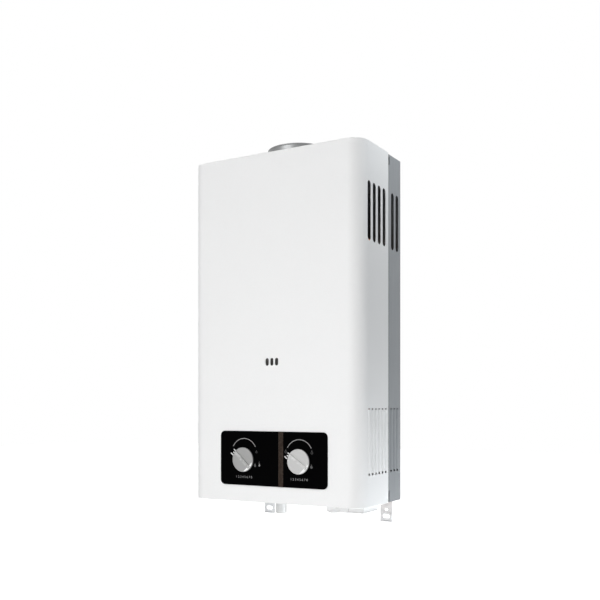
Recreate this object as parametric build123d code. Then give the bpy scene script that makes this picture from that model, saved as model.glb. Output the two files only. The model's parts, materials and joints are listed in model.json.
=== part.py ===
from build123d import *
import math
import os

# A wall-hung tankless gas water heater, built as its separate pieces, in millimetres.
# While it is built, X runs right along the front, Y runs back to the wall at Y = 0,
# and Z runs up from the bottom edge of the front cover. The pieces are written
# with the origin moved up to the middle of the back wall.

# Case
cover_width = 333.0
cover_height = 590.0
cover_depth = 103.6
rear_depth = 57.7
cover_sheet = 0.8
rear_sheet = 0.8
cover_corner_radius = 26.5
rear_corner_radius = 3.5
rear_inset = 1.8
seam_overlap = 6.0
seam_clearance = 0.2
cover_flange = 14.0
rear_flange = 14.0
sheet_gap = 0.3

# Side slots: openings with a turned-in rear edge
slot_width = 12.0
slot_drop = 64.3
slot_height = 96.7
slot_first = 29.0
slot_pitch = 19.08
slot_count = 7
slot_at_seam = 4
slot_lip_depth = 1.3
slot_lip_thickness = 0.6

# Side ribs: raised strips, open at both ends
rib_bottom = 51.2
rib_top = 159.0
rib_first = 28.5
rib_pitch = 12.95
rib_count = 10
rib_at_seam = 6
rib_outer_radius = 5.0
rib_wall = 0.8
rib_axis_depth = 3.4
rib_window_width = 6.4
rib_top_window = 1.6
rib_bottom_window = 3.8

# Flame window
window_drop = 1.3
window_height = 12.9
window_slot_width = 6.4
window_slot_pitch = 9.3
window_slot_count = 3
mica_width = 40.0
mica_height = 26.0
mica_thickness = 0.4
window_frame_border = 4.0
window_frame_thickness = 0.8

# Control panel
panel_width = 209.7
panel_height = 92.4
panel_bottom = 28.0
panel_offset = 1.65
panel_thickness = 2.2
panel_corner_radius = 8.5
panel_edge_bevel = 0.9
panel_peg_radius = 2.0
panel_peg_length = 6.0
panel_peg_inset = 12.0
peg_clearance = 0.2
divider_centre = 19.0
divider_width = 9.4
divider_thickness = 0.9
divider_groove = 0.5
divider_end_bevel = 0.5

# Knobs
knob_spacing = 109.0
knob_height = 71.7
knob_radius = 20.8
knob_length = 2.8
knob_gap = 0.6
knob_shank_radius = 7.0
knob_shank_length = 6.0
knob_hole_radius = 8.0
knob_draft = 0.5
cap_thickness = 1.6
cap_rim_bevel = 0.9
grip_width = 5.0
grip_height = 2.2
grip_end_inset = 1.0
grip_bevel = 0.7
gas_grip_angle = 137.5
water_grip_angle = 146.0

# Bottom plate and wall fixings
plate_sheet = 1.0
plate_gap = 1.0
pipe_hole_radius = 12.5
air_slot_width = 6.0
air_slot_length = 50.0
air_slot_pitch = 14.0
air_slot_count = 5
air_slot_front = 92.0
hanger_width = 220.0
hanger_height = 34.0
hanger_drop = 49.0
hanger_sheet = 2.0
hanging_hole_radius = 4.0
hanging_hole_spacing = 180.0
hanging_hole_drop = 32.0
tab_width = 23.0
tab_sheet = 1.6
tab_top = 60.0
tab_bottom = -40.0
tab_right_inset = 27.0
tab_left_inset = 60.4
tab_lip = 5.0
tab_hole_radius = 2.1
tab_hole_height = -19.0
tab_slot_length = 14.5
tab_slot_width = 9.0
tab_slot_height = -29.5
tab_corner_radius = 2.0
screw_radius = 2.0
screw_length = 8.0
screw_head_radius = 3.8
screw_head_height = 1.3
screw_clearance = 0.25
cover_screw_inset = 46.5
case_screw_spacing = 110.0

# Flue
flue_centre_back = 70.5
flue_radius = 55.0
flue_sheet = 0.8
flue_rim = 22.0
flue_reach_down = 24.0
flue_flange_width = 9.0
flue_bell_step = 1.5
flue_notch_gap = 3.0
hood_neck_clearance = 0.3
hood_top_gap = 12.0
hood_neck_height = 20.0
hood_slope_height = 40.0
hood_skirt_height = 46.0
hood_overhang = 14.0
hood_sheet = 0.8
hood_window_width = 140.0
hood_window_height = 20.0
hood_window_raise = 14.0

# Burner and combustion chamber
burner_side_gap = 8.0
burner_lip = 3.0
burner_sheet = 1.0
bar_count = 10
bar_pitch = 18.0
bar_height = 83.0
bar_rest = 4.0
bar_drop = 7.0
bar_foot_width = 14.0
bar_foot_height = 18.0
bar_web_width = 4.0
bar_head_width = 12.0
bar_head_height = 12.0
bar_taper = 6.0
bar_throat_radius = 4.5
bar_throat_rise = 8.0
bar_throat_length = 80.0
bar_gallery_width = 1.6
bar_end_wall = 7.0
bar_port_count = 12
bar_port_width = 1.4
bar_port_depth = 3.0
bar_port_length = 9.0
jet_hole_radius = 6.0
chamber_setback = 33.3
chamber_back = 28.0
chamber_sheet = 0.8
chamber_flange = 4.0
view_hole_width = 44.0
view_hole_height = 13.0
view_hole_rise = 11.0

# Heat exchanger and pipes
water_tube_radius = 7.0
water_tube_wall = 0.7
tube_count = 5
tube_inset = 10.0
tube_drop = 20.0
tube_reach = 6.0
tube_hole_clearance = 0.3
fin_count = 31
fin_end_gap = 4.2
fin_thickness = 0.6
fin_height = 36.0
coil_side_gap = 1.0
coil_face_gap = 3.0
coil_bend = 12.0
coil_low_gap = 54.0
coil_high_gap = 50.0
coil_corner_count = 6
coil_end_offset = 20.0
hot_pipe_offset = 16.5
hot_pipe_bend = 14.0

# Gas train
manifold_end = 9.0
manifold_size = 14.0
manifold_wall = 1.5
manifold_standoff = 19.0
manifold_ear = 4.0
manifold_inlet_radius = 5.0
injector_radius = 4.5
injector_tip_radius = 2.5
injector_base = 3.0
injector_length = 4.4
injector_bore = 0.6
riser_radius = 7.0
riser_wall = 1.0
riser_bend = 14.0
riser_rise = 22.0
riser_climb = 24.0
gas_passage_radius = 4.5
valve_half_width = 29.5
valve_gap = 1.3
valve_back = 22.0
valve_below = 25.7
valve_above = 26.3
valve_round = 4.0
valve_boss_radius = 12.0
valve_boss_height = 6.0
riser_inset = 12.0
inlet_y = 41.3
spindle_radius = 4.0
spindle_clearance = 0.05
plug_radius = 9.0
plug_length = 28.0
plug_port_radius = 4.0
plug_end_gap = 0.3
gland_across_flats = 22.0
gland_length = 9.0
gland_bore_clearance = 0.08
union_thread_radius = 10.478
union_bore_radius = 7.0
union_hex = 28.0
union_hex_height = 6.0
union_neck_radius = 9.5
hot_neck_height = 10.0
gas_union_bottom = -32.8
water_union_bottom = -25.0
hot_union_bottom = -14.0
union_chamfer = 1.0
end_plate_thickness = 4.0
valve_cavity_radius = 12.0
valve_cavity_depth = 20.0

# Safety solenoid
coil_radius = 15.0
coil_length = 30.0
coil_end_wall = 2.0
plunger_radius = 5.0
plunger_clearance = 0.05
plunger_disc_radius = 8.0
plunger_disc_thickness = 3.0
solenoid_y = 57.0
solenoid_cavity_radius = 9.5
solenoid_cavity_depth = 12.0
solenoid_reach = 29.0

# Push rod and diaphragm unit
rod_y = 45.0
rod_radius = 2.5
rod_clearance = 0.05
rod_disc_radius = 9.0
rod_disc_thickness = 3.0
rod_collar_radius = 7.0
rod_collar_thickness = 2.0
rod_collar_gap = 9.7
seat_gap = 0.3
diaphragm_radius = 31.0
diaphragm_thickness = 1.5
diaphragm_inset = 30.0
diaphragm_plate_radius = 20.0
diaphragm_plate_thickness = 1.5
unit_radius = 33.0
unit_cover_depth = 12.5
unit_recess_radius = 24.0
unit_recess_depth = 7.5
unit_flange = 12.0
unit_chamber_depth = 5.0
unit_bolt_count = 6
unit_bolt_circle = 28.0
unit_bolt_radius = 2.0
unit_bolt_head = 3.5
unit_bolt_head_height = 3.0
unit_bolt_length = 20.0
regulator_radius = 7.0
regulator_length = 24.0
drain_radius = 6.0
drain_head_radius = 8.0
drain_head_height = 7.0
drain_depth = 12.0
drain_offset = 14.0
drain_inset = 10.0
water_passage_radius = 4.0
water_outlet_inset = 13.0

# Microswitch
switch_width = 14.0
switch_thickness = 6.4
switch_drop = 23.7
switch_height = 12.0
switch_overhang = 2.4
bracket_sheet = 1.2
lever_collar_gap = 0.7
lever_pivot_rise = 2.5
lever_pivot_radius = 1.0
lever_knuckle_radius = 1.8
lever_thickness = 0.5
lever_top_drop = 3.7
lever_ear = 1.0
lever_side_gap = 0.2

# Ignition
ignition_side_gap = 9.5
ignition_width = 56.0
ignition_front = 18.0
ignition_depth = 34.0
ignition_height = 82.0
ignition_wall = 2.0
ignition_round = 3.0
ignition_lid_thickness = 2.0
ignition_lid_lip = 3.0
electrode_spacing = 28.0
electrode_first_x = 40.0
electrode_rise = 20.0
insulator_radius = 3.5
insulator_length = 32.0
insulator_collar_radius = 7.0
insulator_collar_length = 3.5
insulator_outside = 20.0
insulator_gap = 0.3
electrode_radius = 1.2
electrode_bend = 5.0
electrode_reach = 24.0
electrode_tip_gap = 4.0
electrode_tail = 5.0
thermostat_radius = 8.0
thermostat_height = 7.0
thermostat_flange = 24.0
thermostat_flange_height = 8.0
thermostat_flange_sheet = 0.8
overheat_x = 60.0
overheat_drop = 44.0
draught_sensor_x = 88.0

# Battery box
battery_side_gap = 7.5
battery_width = 66.5
battery_setback = 22.0
battery_depth = 50.0
battery_wall = 1.6
battery_top = 66.0
battery_bottom = -7.6
battery_rim = 3.0
battery_rim_height = 2.0
battery_fit = 0.4
cell_radius = 16.6
cell_length = 60.0
cell_button_radius = 4.7
cell_button_height = 1.2
cell_edge_bevel = 0.6
cell_gap = 0.4
contact_thickness = 0.5
contact_size = 18.0
door_thickness = 2.0
door_gap = 0.3
door_knuckle_radius = 2.5
door_hinge_back = 3.5
door_pin_radius = 1.0
door_pin_clearance = 0.05
door_ear = 3.0
latch_width = 14.0
latch_height = 5.0
latch_thickness = 1.5

# Rails between the back wall and the hot parts
rail_end_gap = 8.0
rail_height = 20.0
rail_sheet = 1.2
burner_rail_drop = 60.0
chamber_rail_drop = 54.0

# Places that follow from the sizes above: the case
front_y = -(cover_depth + rear_depth)
seam_y = -rear_depth
half_width = cover_width / 2
rear_half = half_width - rear_inset
rear_inner_half = rear_half - rear_sheet
rear_top = cover_height - cover_sheet - seam_clearance
rear_front_y = seam_y - seam_overlap
wall_inner_y = -rear_sheet
slot_top = cover_height - slot_drop
slot_bottom = slot_top - slot_height
hanger_bottom = cover_height - hanger_drop
hanging_hole_height = cover_height - hanging_hole_drop
tab_right = rear_half - tab_right_inset
tab_left = tab_left_inset - rear_half
cover_screw_spacing = 2 * (half_width - cover_screw_inset)
panel_front_y = front_y - panel_thickness
knob_x = knob_spacing / 2
knob_back_y = panel_front_y - knob_gap
knob_front_y = knob_back_y - knob_length
plate_bottom = rear_sheet
plate_top = plate_bottom + plate_sheet

# Places from the front wall and the bottom plate: battery box and valves
battery_right = half_width - battery_side_gap
battery_left = battery_right - battery_width
battery_front_y = front_y + battery_setback
battery_back_y = battery_front_y + battery_depth
hinge_y = battery_back_y + door_hinge_back
hinge_z = battery_bottom - door_gap
door_bottom = hinge_z - door_thickness
ignition_left = half_width - ignition_side_gap
valve_front = -battery_back_y - valve_gap
valve_middle = knob_height
valve_bottom = valve_middle - valve_below
valve_top = valve_middle + valve_above
gas_body_left = knob_x + valve_half_width
gas_body_right = knob_x - valve_half_width
water_body_right = knob_x + valve_half_width
riser_y = valve_front - riser_inset
diaphragm_x = knob_x - diaphragm_inset
unit_cover_x = diaphragm_x - unit_cover_depth
rod_collar_x = unit_cover_x - rod_collar_gap
lever_pivot_x = rod_collar_x - lever_collar_gap
switch_right = lever_pivot_x + switch_overhang
switch_top = valve_middle - switch_drop
switch_bottom = switch_top - switch_height
lever_pivot_z = switch_top + lever_pivot_rise
lever_top = valve_middle - lever_top_drop
drain_x = knob_x + drain_offset
drain_y = valve_front - drain_inset
water_outlet_y = valve_front - water_outlet_inset

# Places up from the valves: burner and flame window
riser_level = valve_top + valve_boss_height + riser_rise
bar_throat_height = riser_level + riser_climb
bar_bottom = bar_throat_height - bar_throat_rise
bar_top = bar_bottom + bar_height
burner_bottom = bar_bottom - bar_rest
burner_top = bar_top + bar_drop
burner_half_width = bar_pitch * bar_count / 2 + burner_side_gap
window_bottom = burner_top - window_drop
view_hole_centre = burner_top + view_hole_rise
electrode_height = burner_top + electrode_rise
electrode_tip = bar_top + electrode_tip_gap
burner_rail_bottom = burner_top - burner_rail_drop

# Places down from the top of the cover: hood, chamber and heat exchanger
flue_y = -flue_centre_back
flue_bell_radius = flue_radius + flue_bell_step
hood_neck_radius = flue_bell_radius - flue_sheet - hood_neck_clearance
hood_top = cover_height - hood_top_gap
hood_slope_top = hood_top - hood_neck_height
hood_skirt_top = hood_slope_top - hood_slope_height
hood_bottom = hood_skirt_top - hood_skirt_height
chamber_top = hood_bottom
chamber_half_width = burner_half_width
chamber_front = -front_y - chamber_setback
chamber_front_y = -chamber_front
chamber_back_y = -chamber_back
burner_front_y = chamber_front_y - burner_lip
burner_back_y = chamber_back_y + burner_lip
manifold_half_length = bar_pitch * (bar_count - 1) / 2 + manifold_end
manifold_front = manifold_standoff - burner_front_y
manifold_back_y = -manifold_front + manifold_size
tube_height = chamber_top - tube_drop
tube_first = chamber_front - tube_inset
tube_pitch = (tube_first - chamber_back - tube_inset) / (tube_count - 1)
fin_bottom = tube_height - fin_height / 2
fin_pitch = 2 * (chamber_half_width - chamber_sheet - fin_end_gap) / (fin_count - 1)
overheat_z = tube_height - overheat_drop
coil_start = burner_top + coil_low_gap
coil_rise = (tube_height - coil_high_gap - coil_end_offset - coil_start) / coil_corner_count
hot_pipe_x = chamber_half_width + tube_reach + hot_pipe_offset
rail_half_length = chamber_half_width - rail_end_gap
chamber_rail_bottom = tube_height - chamber_rail_drop
full_turn = 360.0
quarter_turn = 90.0
hexagon_sides = 6
cut_past = 1.0


def block(x0, x1, y0, y1, z0, z1):
    """A box between two corners."""
    middle = Pos((x0 + x1) / 2, (y0 + y1) / 2, (z0 + z1) / 2)
    return middle * Box(abs(x1 - x0), abs(y1 - y0), abs(z1 - z0))


def round_x(x0, x1, y, z, radius):
    """A cylinder along X."""
    return Pos((x0 + x1) / 2, y, z) * Rot(0, quarter_turn, 0) * Cylinder(radius, abs(x1 - x0))


def round_y(x, y0, y1, z, radius):
    """A cylinder along Y."""
    return Pos(x, (y0 + y1) / 2, z) * Rot(quarter_turn, 0, 0) * Cylinder(radius, abs(y1 - y0))


def round_z(x, y, z0, z1, radius):
    """A cylinder along Z."""
    return Pos(x, y, (z0 + z1) / 2) * Cylinder(radius, abs(z1 - z0))


def upright_slot_x(x0, x1, y, z0, z1, width):
    """An upright obround between two X planes."""
    face = Plane(origin=(x0, y, (z0 + z1) / 2), x_dir=(0, 0, 1), z_dir=(1, 0, 0))
    return extrude(face * SlotOverall(z1 - z0, width), x1 - x0)


def slot_y(x, y0, y1, z, length, width, upright=False):
    """An obround between two Y planes, lying along X or standing along Z."""
    along = (0, 0, 1) if upright else (1, 0, 0)
    face = Plane(origin=(x, y0, z), x_dir=along, z_dir=(0, 1, 0))
    return extrude(face * SlotOverall(length, width), y1 - y0)


def hex_z(x, y, z0, z1, across_flats):
    """A hexagonal prism along Z."""
    outline = RegularPolygon(across_flats / 2, hexagon_sides, major_radius=False)
    return extrude(Pos(x, y, z0) * outline, z1 - z0)


def hex_y(x, y0, y1, z, across_flats):
    """A hexagonal prism along Y."""
    outline = RegularPolygon(across_flats / 2, hexagon_sides, major_radius=False)
    face = Plane(origin=(x, y0, z), x_dir=(1, 0, 0), z_dir=(0, 1, 0))
    return extrude(face * outline, y1 - y0)


def pipe(points, bends, radius, wall):
    """A round pipe along straight runs joined by tangent bends."""
    route = FilletPolyline(*points, radius=bends)
    start = Plane(origin=route @ 0, z_dir=route % 0)
    return sweep(start * (Circle(radius) - Circle(radius - wall)), path=route)


def join(pieces):
    """All the given shapes fused."""
    whole = pieces[0]
    for piece in pieces[1:]:
        whole = whole + piece
    return whole


def slot_places(on_cover):
    """Y of each side slot on the cover or on the rear case."""
    numbers = range(slot_at_seam) if on_cover else range(slot_at_seam + 1, slot_count)
    return [front_y + slot_first + slot_pitch * number for number in numbers]


def rib_places(on_cover):
    """Y of each side rib on the cover or on the rear case."""
    numbers = range(rib_at_seam) if on_cover else range(rib_at_seam + 1, rib_count)
    return [front_y + rib_first + rib_pitch * number for number in numbers]


def dress_side(shell, face_x, sheet, on_cover):
    """Slots and ribs in the right side wall, and the same in the left."""
    straight = slot_width / 2
    for y in slot_places(on_cover):
        hole = upright_slot_x(
            face_x - sheet - cut_past, face_x + cut_past, y, slot_bottom, slot_top, slot_width
        )
        lip = block(
            face_x - sheet - slot_lip_depth,
            face_x,
            y + slot_width / 2 - slot_lip_thickness / 2,
            y + slot_width / 2 + slot_lip_thickness / 2,
            slot_bottom + straight,
            slot_top - straight,
        )
        shell = shell - hole - mirror(hole, about=Plane.YZ) + lip + mirror(lip, about=Plane.YZ)
    axis_x = face_x - rib_axis_depth
    outward = block(
        face_x - sheet, face_x + rib_outer_radius, front_y, 0, rib_bottom, rib_top
    )
    for y in rib_places(on_cover):
        window = block(
            face_x - sheet - cut_past,
            face_x + cut_past,
            y - rib_window_width / 2,
            y + rib_window_width / 2,
            rib_bottom,
            rib_top,
        )
        arch = round_z(
            axis_x, y, rib_bottom + rib_bottom_window, rib_top - rib_top_window, rib_outer_radius
        )
        hollow = round_z(axis_x, y, rib_bottom, rib_top, rib_outer_radius - rib_wall)
        strip = (arch - hollow) & outward
        shell = shell - window - mirror(window, about=Plane.YZ)
        shell = shell + strip + mirror(strip, about=Plane.YZ)
    return shell


def cover_plan(inset):
    """The cover seen from above, open to the wall, drawn in by an inset."""
    back = seam_y + (cut_past if inset else 0)
    deep = back - front_y - inset
    plan = Pos(0, back - deep / 2) * Rectangle(cover_width - 2 * inset, deep)
    return fillet(plan.vertices().group_by(Axis.Y)[0], cover_corner_radius - inset)


def make_front_cover():
    """White enamelled box, open to the wall and below."""
    shell = extrude(cover_plan(0), cover_height)
    hollow_height = cover_height - 2 * cover_sheet
    shell -= Pos(0, 0, cover_sheet) * extrude(cover_plan(cover_sheet), hollow_height)
    shell -= Pos(0, 0, -cut_past) * extrude(cover_plan(cover_sheet), 2 * cut_past) & block(
        -half_width, half_width, front_y + cover_flange, seam_y + cut_past, -cut_past, cut_past
    )
    notch_radius = flue_radius + flue_notch_gap
    shell -= round_z(0, flue_y, cover_height - 2 * cover_sheet, cover_height + cut_past, notch_radius)
    shell -= block(
        -notch_radius,
        notch_radius,
        flue_y,
        seam_y + cut_past,
        cover_height - 2 * cover_sheet,
        cover_height + cut_past,
    )
    shell = dress_side(shell, half_width, cover_sheet, True)
    for number in range(window_slot_count):
        x = window_slot_pitch * (number - (window_slot_count - 1) / 2)
        shell -= slot_y(
            x,
            front_y - cut_past,
            front_y + cover_sheet + cut_past,
            window_bottom + window_height / 2,
            window_height,
            window_slot_width,
            upright=True,
        )
    for x in (-knob_x, knob_x):
        shell -= round_y(x, front_y - cut_past, front_y + 2 * cover_sheet, knob_height, knob_hole_radius)
    for x, z in peg_places():
        hole_radius = panel_peg_radius + peg_clearance
        shell -= round_y(x, front_y - cut_past, front_y + 2 * cover_sheet, z, hole_radius)
    for x in (-cover_screw_spacing / 2, cover_screw_spacing / 2):
        shell -= round_z(
            x, front_y + cover_flange / 2, -cut_past, 2 * cover_sheet, screw_radius + screw_clearance
        )
    return shell


def make_rear_case():
    """Galvanised tray: back wall, two sides, top and a short bottom flange."""
    deep = -rear_front_y
    plan = Pos(0, -deep / 2) * Rectangle(2 * rear_half, deep)
    plan = fillet(plan.vertices().group_by(Axis.Y)[-1], rear_corner_radius)
    inner = Pos(0, -deep / 2 - rear_sheet) * Rectangle(2 * rear_inner_half, deep)
    inner = fillet(inner.vertices().group_by(Axis.Y)[-1], rear_corner_radius - rear_sheet)
    shell = extrude(plan, rear_top)
    shell -= Pos(0, 0, rear_sheet) * extrude(inner, rear_top - 2 * rear_sheet)
    shell -= block(
        -rear_inner_half,
        rear_inner_half,
        rear_front_y - cut_past,
        -rear_flange,
        -cut_past,
        plate_bottom + cut_past,
    )
    notch_radius = flue_radius + flue_notch_gap
    shell -= round_z(0, flue_y, rear_top - 2 * rear_sheet, rear_top + cut_past, notch_radius)
    for x in (tab_left, tab_right):
        shell -= tab_notch(x)
    for x in hanging_places():
        shell -= round_y(x, -2 * rear_sheet, cut_past, hanging_hole_height, hanging_hole_radius)
    for x in (-case_screw_spacing / 2, case_screw_spacing / 2):
        shell -= round_z(
            x, -rear_flange / 2, -cut_past, plate_bottom + cut_past, screw_radius + screw_clearance
        )
    return dress_side(shell, rear_half, rear_sheet, False)


def tab_notch(x):
    """Room for a wall tab to pass down through the flange and the bottom plate."""
    return block(
        x - tab_width / 2 - sheet_gap,
        x + tab_width / 2 + sheet_gap,
        wall_inner_y - tab_sheet - sheet_gap,
        wall_inner_y,
        -cut_past,
        plate_top + cut_past,
    )


def hanging_places():
    """X of the two holes that the case hangs from."""
    return (-hanging_hole_spacing / 2, hanging_hole_spacing / 2)


def peg_places():
    """X and Z of the panel's pegs."""
    half = panel_width / 2 - panel_peg_inset
    low = panel_bottom + panel_peg_inset
    high = panel_bottom + panel_height - panel_peg_inset
    return [(panel_offset + side * half, z) for side in (-1, 1) for z in (low, high)]


def make_bottom_plate():
    """Flat plate that carries the valves, with openings for pipes, battery box and air."""
    half = rear_inner_half - sheet_gap
    plate_front = front_y + cover_sheet + plate_gap
    plate_back = wall_inner_y - sheet_gap
    corner = cover_corner_radius + rear_inset
    plan = Pos(0, (plate_front + plate_back) / 2) * Rectangle(2 * half, plate_back - plate_front)
    plan = fillet(plan.vertices().group_by(Axis.Y)[0], corner)
    plan = fillet(plan.vertices().group_by(Axis.Y)[-1], rear_corner_radius)
    plate = extrude(Pos(0, 0, plate_bottom) * plan, plate_sheet)
    for x in (-knob_x, knob_x):
        plate -= round_z(x, -inlet_y, 0, plate_top + cut_past, pipe_hole_radius)
    plate -= round_z(hot_pipe_x, -tube_row_y(tube_count - 1), 0, plate_top + cut_past, pipe_hole_radius)
    plate -= block(
        battery_left - battery_fit,
        battery_right + battery_fit,
        battery_front_y - battery_fit,
        battery_back_y + battery_fit,
        0,
        plate_top + cut_past,
    )
    for x in (tab_left, tab_right):
        plate -= tab_notch(x)
    for number in range(air_slot_count):
        x = air_slot_pitch * (number - (air_slot_count - 1) / 2)
        outline = Rot(0, 0, quarter_turn) * SlotOverall(air_slot_length, air_slot_width)
        plate -= extrude(Pos(x, -air_slot_front, 0) * outline, plate_top + cut_past)
    for x in (-cover_screw_spacing / 2, cover_screw_spacing / 2):
        plate -= round_z(x, front_y + cover_flange / 2, 0, plate_top + cut_past, screw_radius)
    for x in (-case_screw_spacing / 2, case_screw_spacing / 2):
        plate -= round_z(x, -rear_flange / 2, 0, plate_top + cut_past, screw_radius)
    return plate


def make_hanger_plate():
    """Thick strip inside the top of the back wall, with the hanging holes."""
    strip = block(
        -hanger_width / 2,
        hanger_width / 2,
        wall_inner_y - hanger_sheet,
        wall_inner_y,
        hanger_bottom,
        hanger_bottom + hanger_height,
    )
    for x in hanging_places():
        deep = hanger_sheet + 2 * rear_sheet
        strip -= round_y(x, -deep, cut_past, hanging_hole_height, hanging_hole_radius)
    return strip


def make_wall_tab(x):
    """Strap welded inside the back wall, reaching below the case."""
    back = wall_inner_y
    front = wall_inner_y - tab_sheet
    tab = block(x - tab_width / 2, x + tab_width / 2, front, back, tab_bottom, tab_top)
    tab += block(
        x - tab_width / 2, x + tab_width / 2, front - tab_lip, back, tab_bottom, tab_bottom + tab_sheet
    )
    corners = tab.edges().filter_by(Axis.Z).group_by(Axis.Y)[0]
    tab = fillet(corners, tab_corner_radius)
    tab -= round_y(x, front - cut_past, back + cut_past, tab_hole_height, tab_hole_radius)
    tab -= slot_y(x, front - cut_past, back + cut_past, tab_slot_height, tab_slot_length, tab_slot_width)
    return tab


def screw_up(x, y, seat):
    """A screw driven upwards, with its head under a seat."""
    head = round_z(x, y, seat - screw_head_height, seat, screw_head_radius)
    head = fillet(head.edges().group_by(Axis.Z)[0], screw_head_height / 2)
    return head + round_z(x, y, seat, seat + screw_length, screw_radius - screw_clearance)


def make_cover_screws():
    """Two screws up through the cover's flange."""
    y = front_y + cover_flange / 2
    return [screw_up(side * cover_screw_spacing / 2, y, 0) for side in (-1, 1)]


def make_case_screws():
    """Two screws up through the rear flange."""
    y = -rear_flange / 2
    return [screw_up(side * case_screw_spacing / 2, y, 0) for side in (-1, 1)]


def make_window_mica():
    """Clear sheet behind the flame window."""
    y = front_y + cover_sheet
    middle = window_bottom + window_height / 2
    return block(
        -mica_width / 2,
        mica_width / 2,
        y,
        y + mica_thickness,
        middle - mica_height / 2,
        middle + mica_height / 2,
    )


def make_window_frame():
    """Retaining frame behind the clear sheet."""
    y = front_y + cover_sheet + mica_thickness
    middle = window_bottom + window_height / 2
    half_x = mica_width / 2 + window_frame_border
    half_z = mica_height / 2 + window_frame_border
    frame = block(-half_x, half_x, y, y + window_frame_thickness, middle - half_z, middle + half_z)
    open_x = mica_width / 2 - window_frame_border
    open_z = mica_height / 2 - window_frame_border
    frame -= block(
        -open_x, open_x, y - cut_past, y + 2 * window_frame_thickness, middle - open_z, middle + open_z
    )
    border = window_frame_border - sheet_gap
    for side in (-1, 1):
        edge = half_x - border
        frame += block(
            side * edge, side * half_x, y - mica_thickness, y, middle - half_z, middle + half_z
        )
    return frame


def make_control_panel():
    """Black plate on the cover's face, with pegs behind and a groove for the divider."""
    middle_z = panel_bottom + panel_height / 2
    face = Plane(origin=(panel_offset, front_y, middle_z), x_dir=(1, 0, 0), z_dir=(0, -1, 0))
    outline = face * RectangleRounded(panel_width, panel_height, panel_corner_radius)
    plate = extrude(outline, panel_thickness)
    plate = chamfer(plate.edges().group_by(Axis.Y)[0], panel_edge_bevel)
    plate -= divider_bar(panel_front_y - cut_past, panel_front_y + divider_groove)
    for x in (-knob_x, knob_x):
        plate -= round_y(x, panel_front_y - cut_past, front_y + cut_past, knob_height, knob_hole_radius)
    for x, z in peg_places():
        plate += round_y(x, front_y, front_y + panel_peg_length, z, panel_peg_radius)
    return plate


def divider_bar(y0, y1):
    """The divider's outline between two Y planes."""
    return block(
        divider_centre - divider_width / 2,
        divider_centre + divider_width / 2,
        y0,
        y1,
        panel_bottom,
        panel_bottom + panel_height,
    )


def make_divider_strip():
    """Bronze strip let into the panel."""
    back = panel_front_y + divider_groove
    bar = divider_bar(back - divider_thickness, back)
    return chamfer(bar.edges().group_by(Axis.Y)[0].filter_by(Axis.X), divider_end_bevel)


def knob_body(x):
    """Dark knob with a shank through the panel and a blind bore for the spindle."""
    turned = round_y(x, knob_front_y, knob_back_y, knob_height, knob_radius)
    turned = chamfer(turned.edges().group_by(Axis.Y)[0], knob_draft)
    turned += round_y(x, knob_back_y, knob_back_y + knob_shank_length, knob_height, knob_shank_radius)
    bore = spindle_radius + spindle_clearance
    return turned - round_y(
        x, knob_front_y + cap_thickness, knob_back_y + 2 * knob_shank_length, knob_height, bore
    )


def knob_cap(x, grip_angle):
    """Silver face with a raised grip bar across it."""
    face_y = knob_front_y - cap_thickness
    cap = round_y(x, face_y, knob_front_y, knob_height, knob_radius)
    cap = chamfer(cap.edges().group_by(Axis.Y)[0], cap_rim_bevel)
    half = knob_radius - cap_rim_bevel - grip_end_inset
    bar = block(-half, half, face_y - grip_height, face_y, -grip_width / 2, grip_width / 2)
    bar = chamfer(bar.edges().group_by(Axis.Y)[0], grip_bevel)
    return cap + Pos(x, 0, knob_height) * Rot(0, -grip_angle, 0) * bar


def make_spindle(x):
    """Round shaft from the knob's bore to the valve's plug."""
    start = knob_front_y + cap_thickness + plug_end_gap
    return round_y(x, start, -valve_front, knob_height, spindle_radius)


def make_gland_nuts():
    """Hexagon nuts that close each valve around its spindle."""
    nuts = []
    for x in (-knob_x, knob_x):
        nut = hex_y(x, -valve_front - gland_length, -valve_front, knob_height, gland_across_flats)
        bore = spindle_radius + gland_bore_clearance
        nuts.append(nut - round_y(x, -valve_front - 2 * gland_length, 0, knob_height, bore))
    return nuts


def valve_block(x0, x1):
    """The rounded block that both valves start from."""
    body = block(x0, x1, -valve_front, -valve_back, valve_bottom, valve_top)
    return fillet(body.edges().filter_by(Axis.Y), valve_round)


def make_gas_valve_body():
    """Cast block with bores for the plug, the safety solenoid and the push rod's disc."""
    body = valve_block(-gas_body_left, -gas_body_right)
    body += round_z(-knob_x, -riser_y, valve_top, valve_top + valve_boss_height, valve_boss_radius)
    body += round_z(-knob_x, -inlet_y, valve_bottom - valve_boss_height, valve_bottom, valve_boss_radius)
    body -= round_y(
        -knob_x,
        -valve_front - cut_past,
        -valve_front + plug_length,
        valve_middle,
        plug_radius + spindle_clearance,
    )
    body -= round_x(
        -gas_body_left - cut_past,
        -gas_body_left + solenoid_cavity_depth,
        -solenoid_y,
        valve_middle,
        solenoid_cavity_radius,
    )
    body -= round_x(
        -gas_body_right - valve_cavity_depth,
        -gas_body_right + cut_past,
        -rod_y,
        valve_middle,
        valve_cavity_radius,
    )
    body -= round_z(
        -knob_x, -inlet_y, valve_bottom - 2 * valve_boss_height, valve_middle, gas_passage_radius
    )
    body -= round_z(
        -knob_x, -riser_y, valve_middle, valve_top + 2 * valve_boss_height, riser_radius - riser_wall
    )
    return body


def make_gas_end_plate():
    """Plate that closes the gas valve's right end around the push rod."""
    plate = block(
        -gas_body_right,
        -gas_body_right + end_plate_thickness,
        -valve_front,
        -valve_back,
        valve_bottom,
        valve_top,
    )
    plate = fillet(plate.edges().filter_by(Axis.X), valve_round)
    return plate - round_x(
        -gas_body_right - cut_past, 0, -rod_y, valve_middle, rod_radius + rod_clearance
    )


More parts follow.
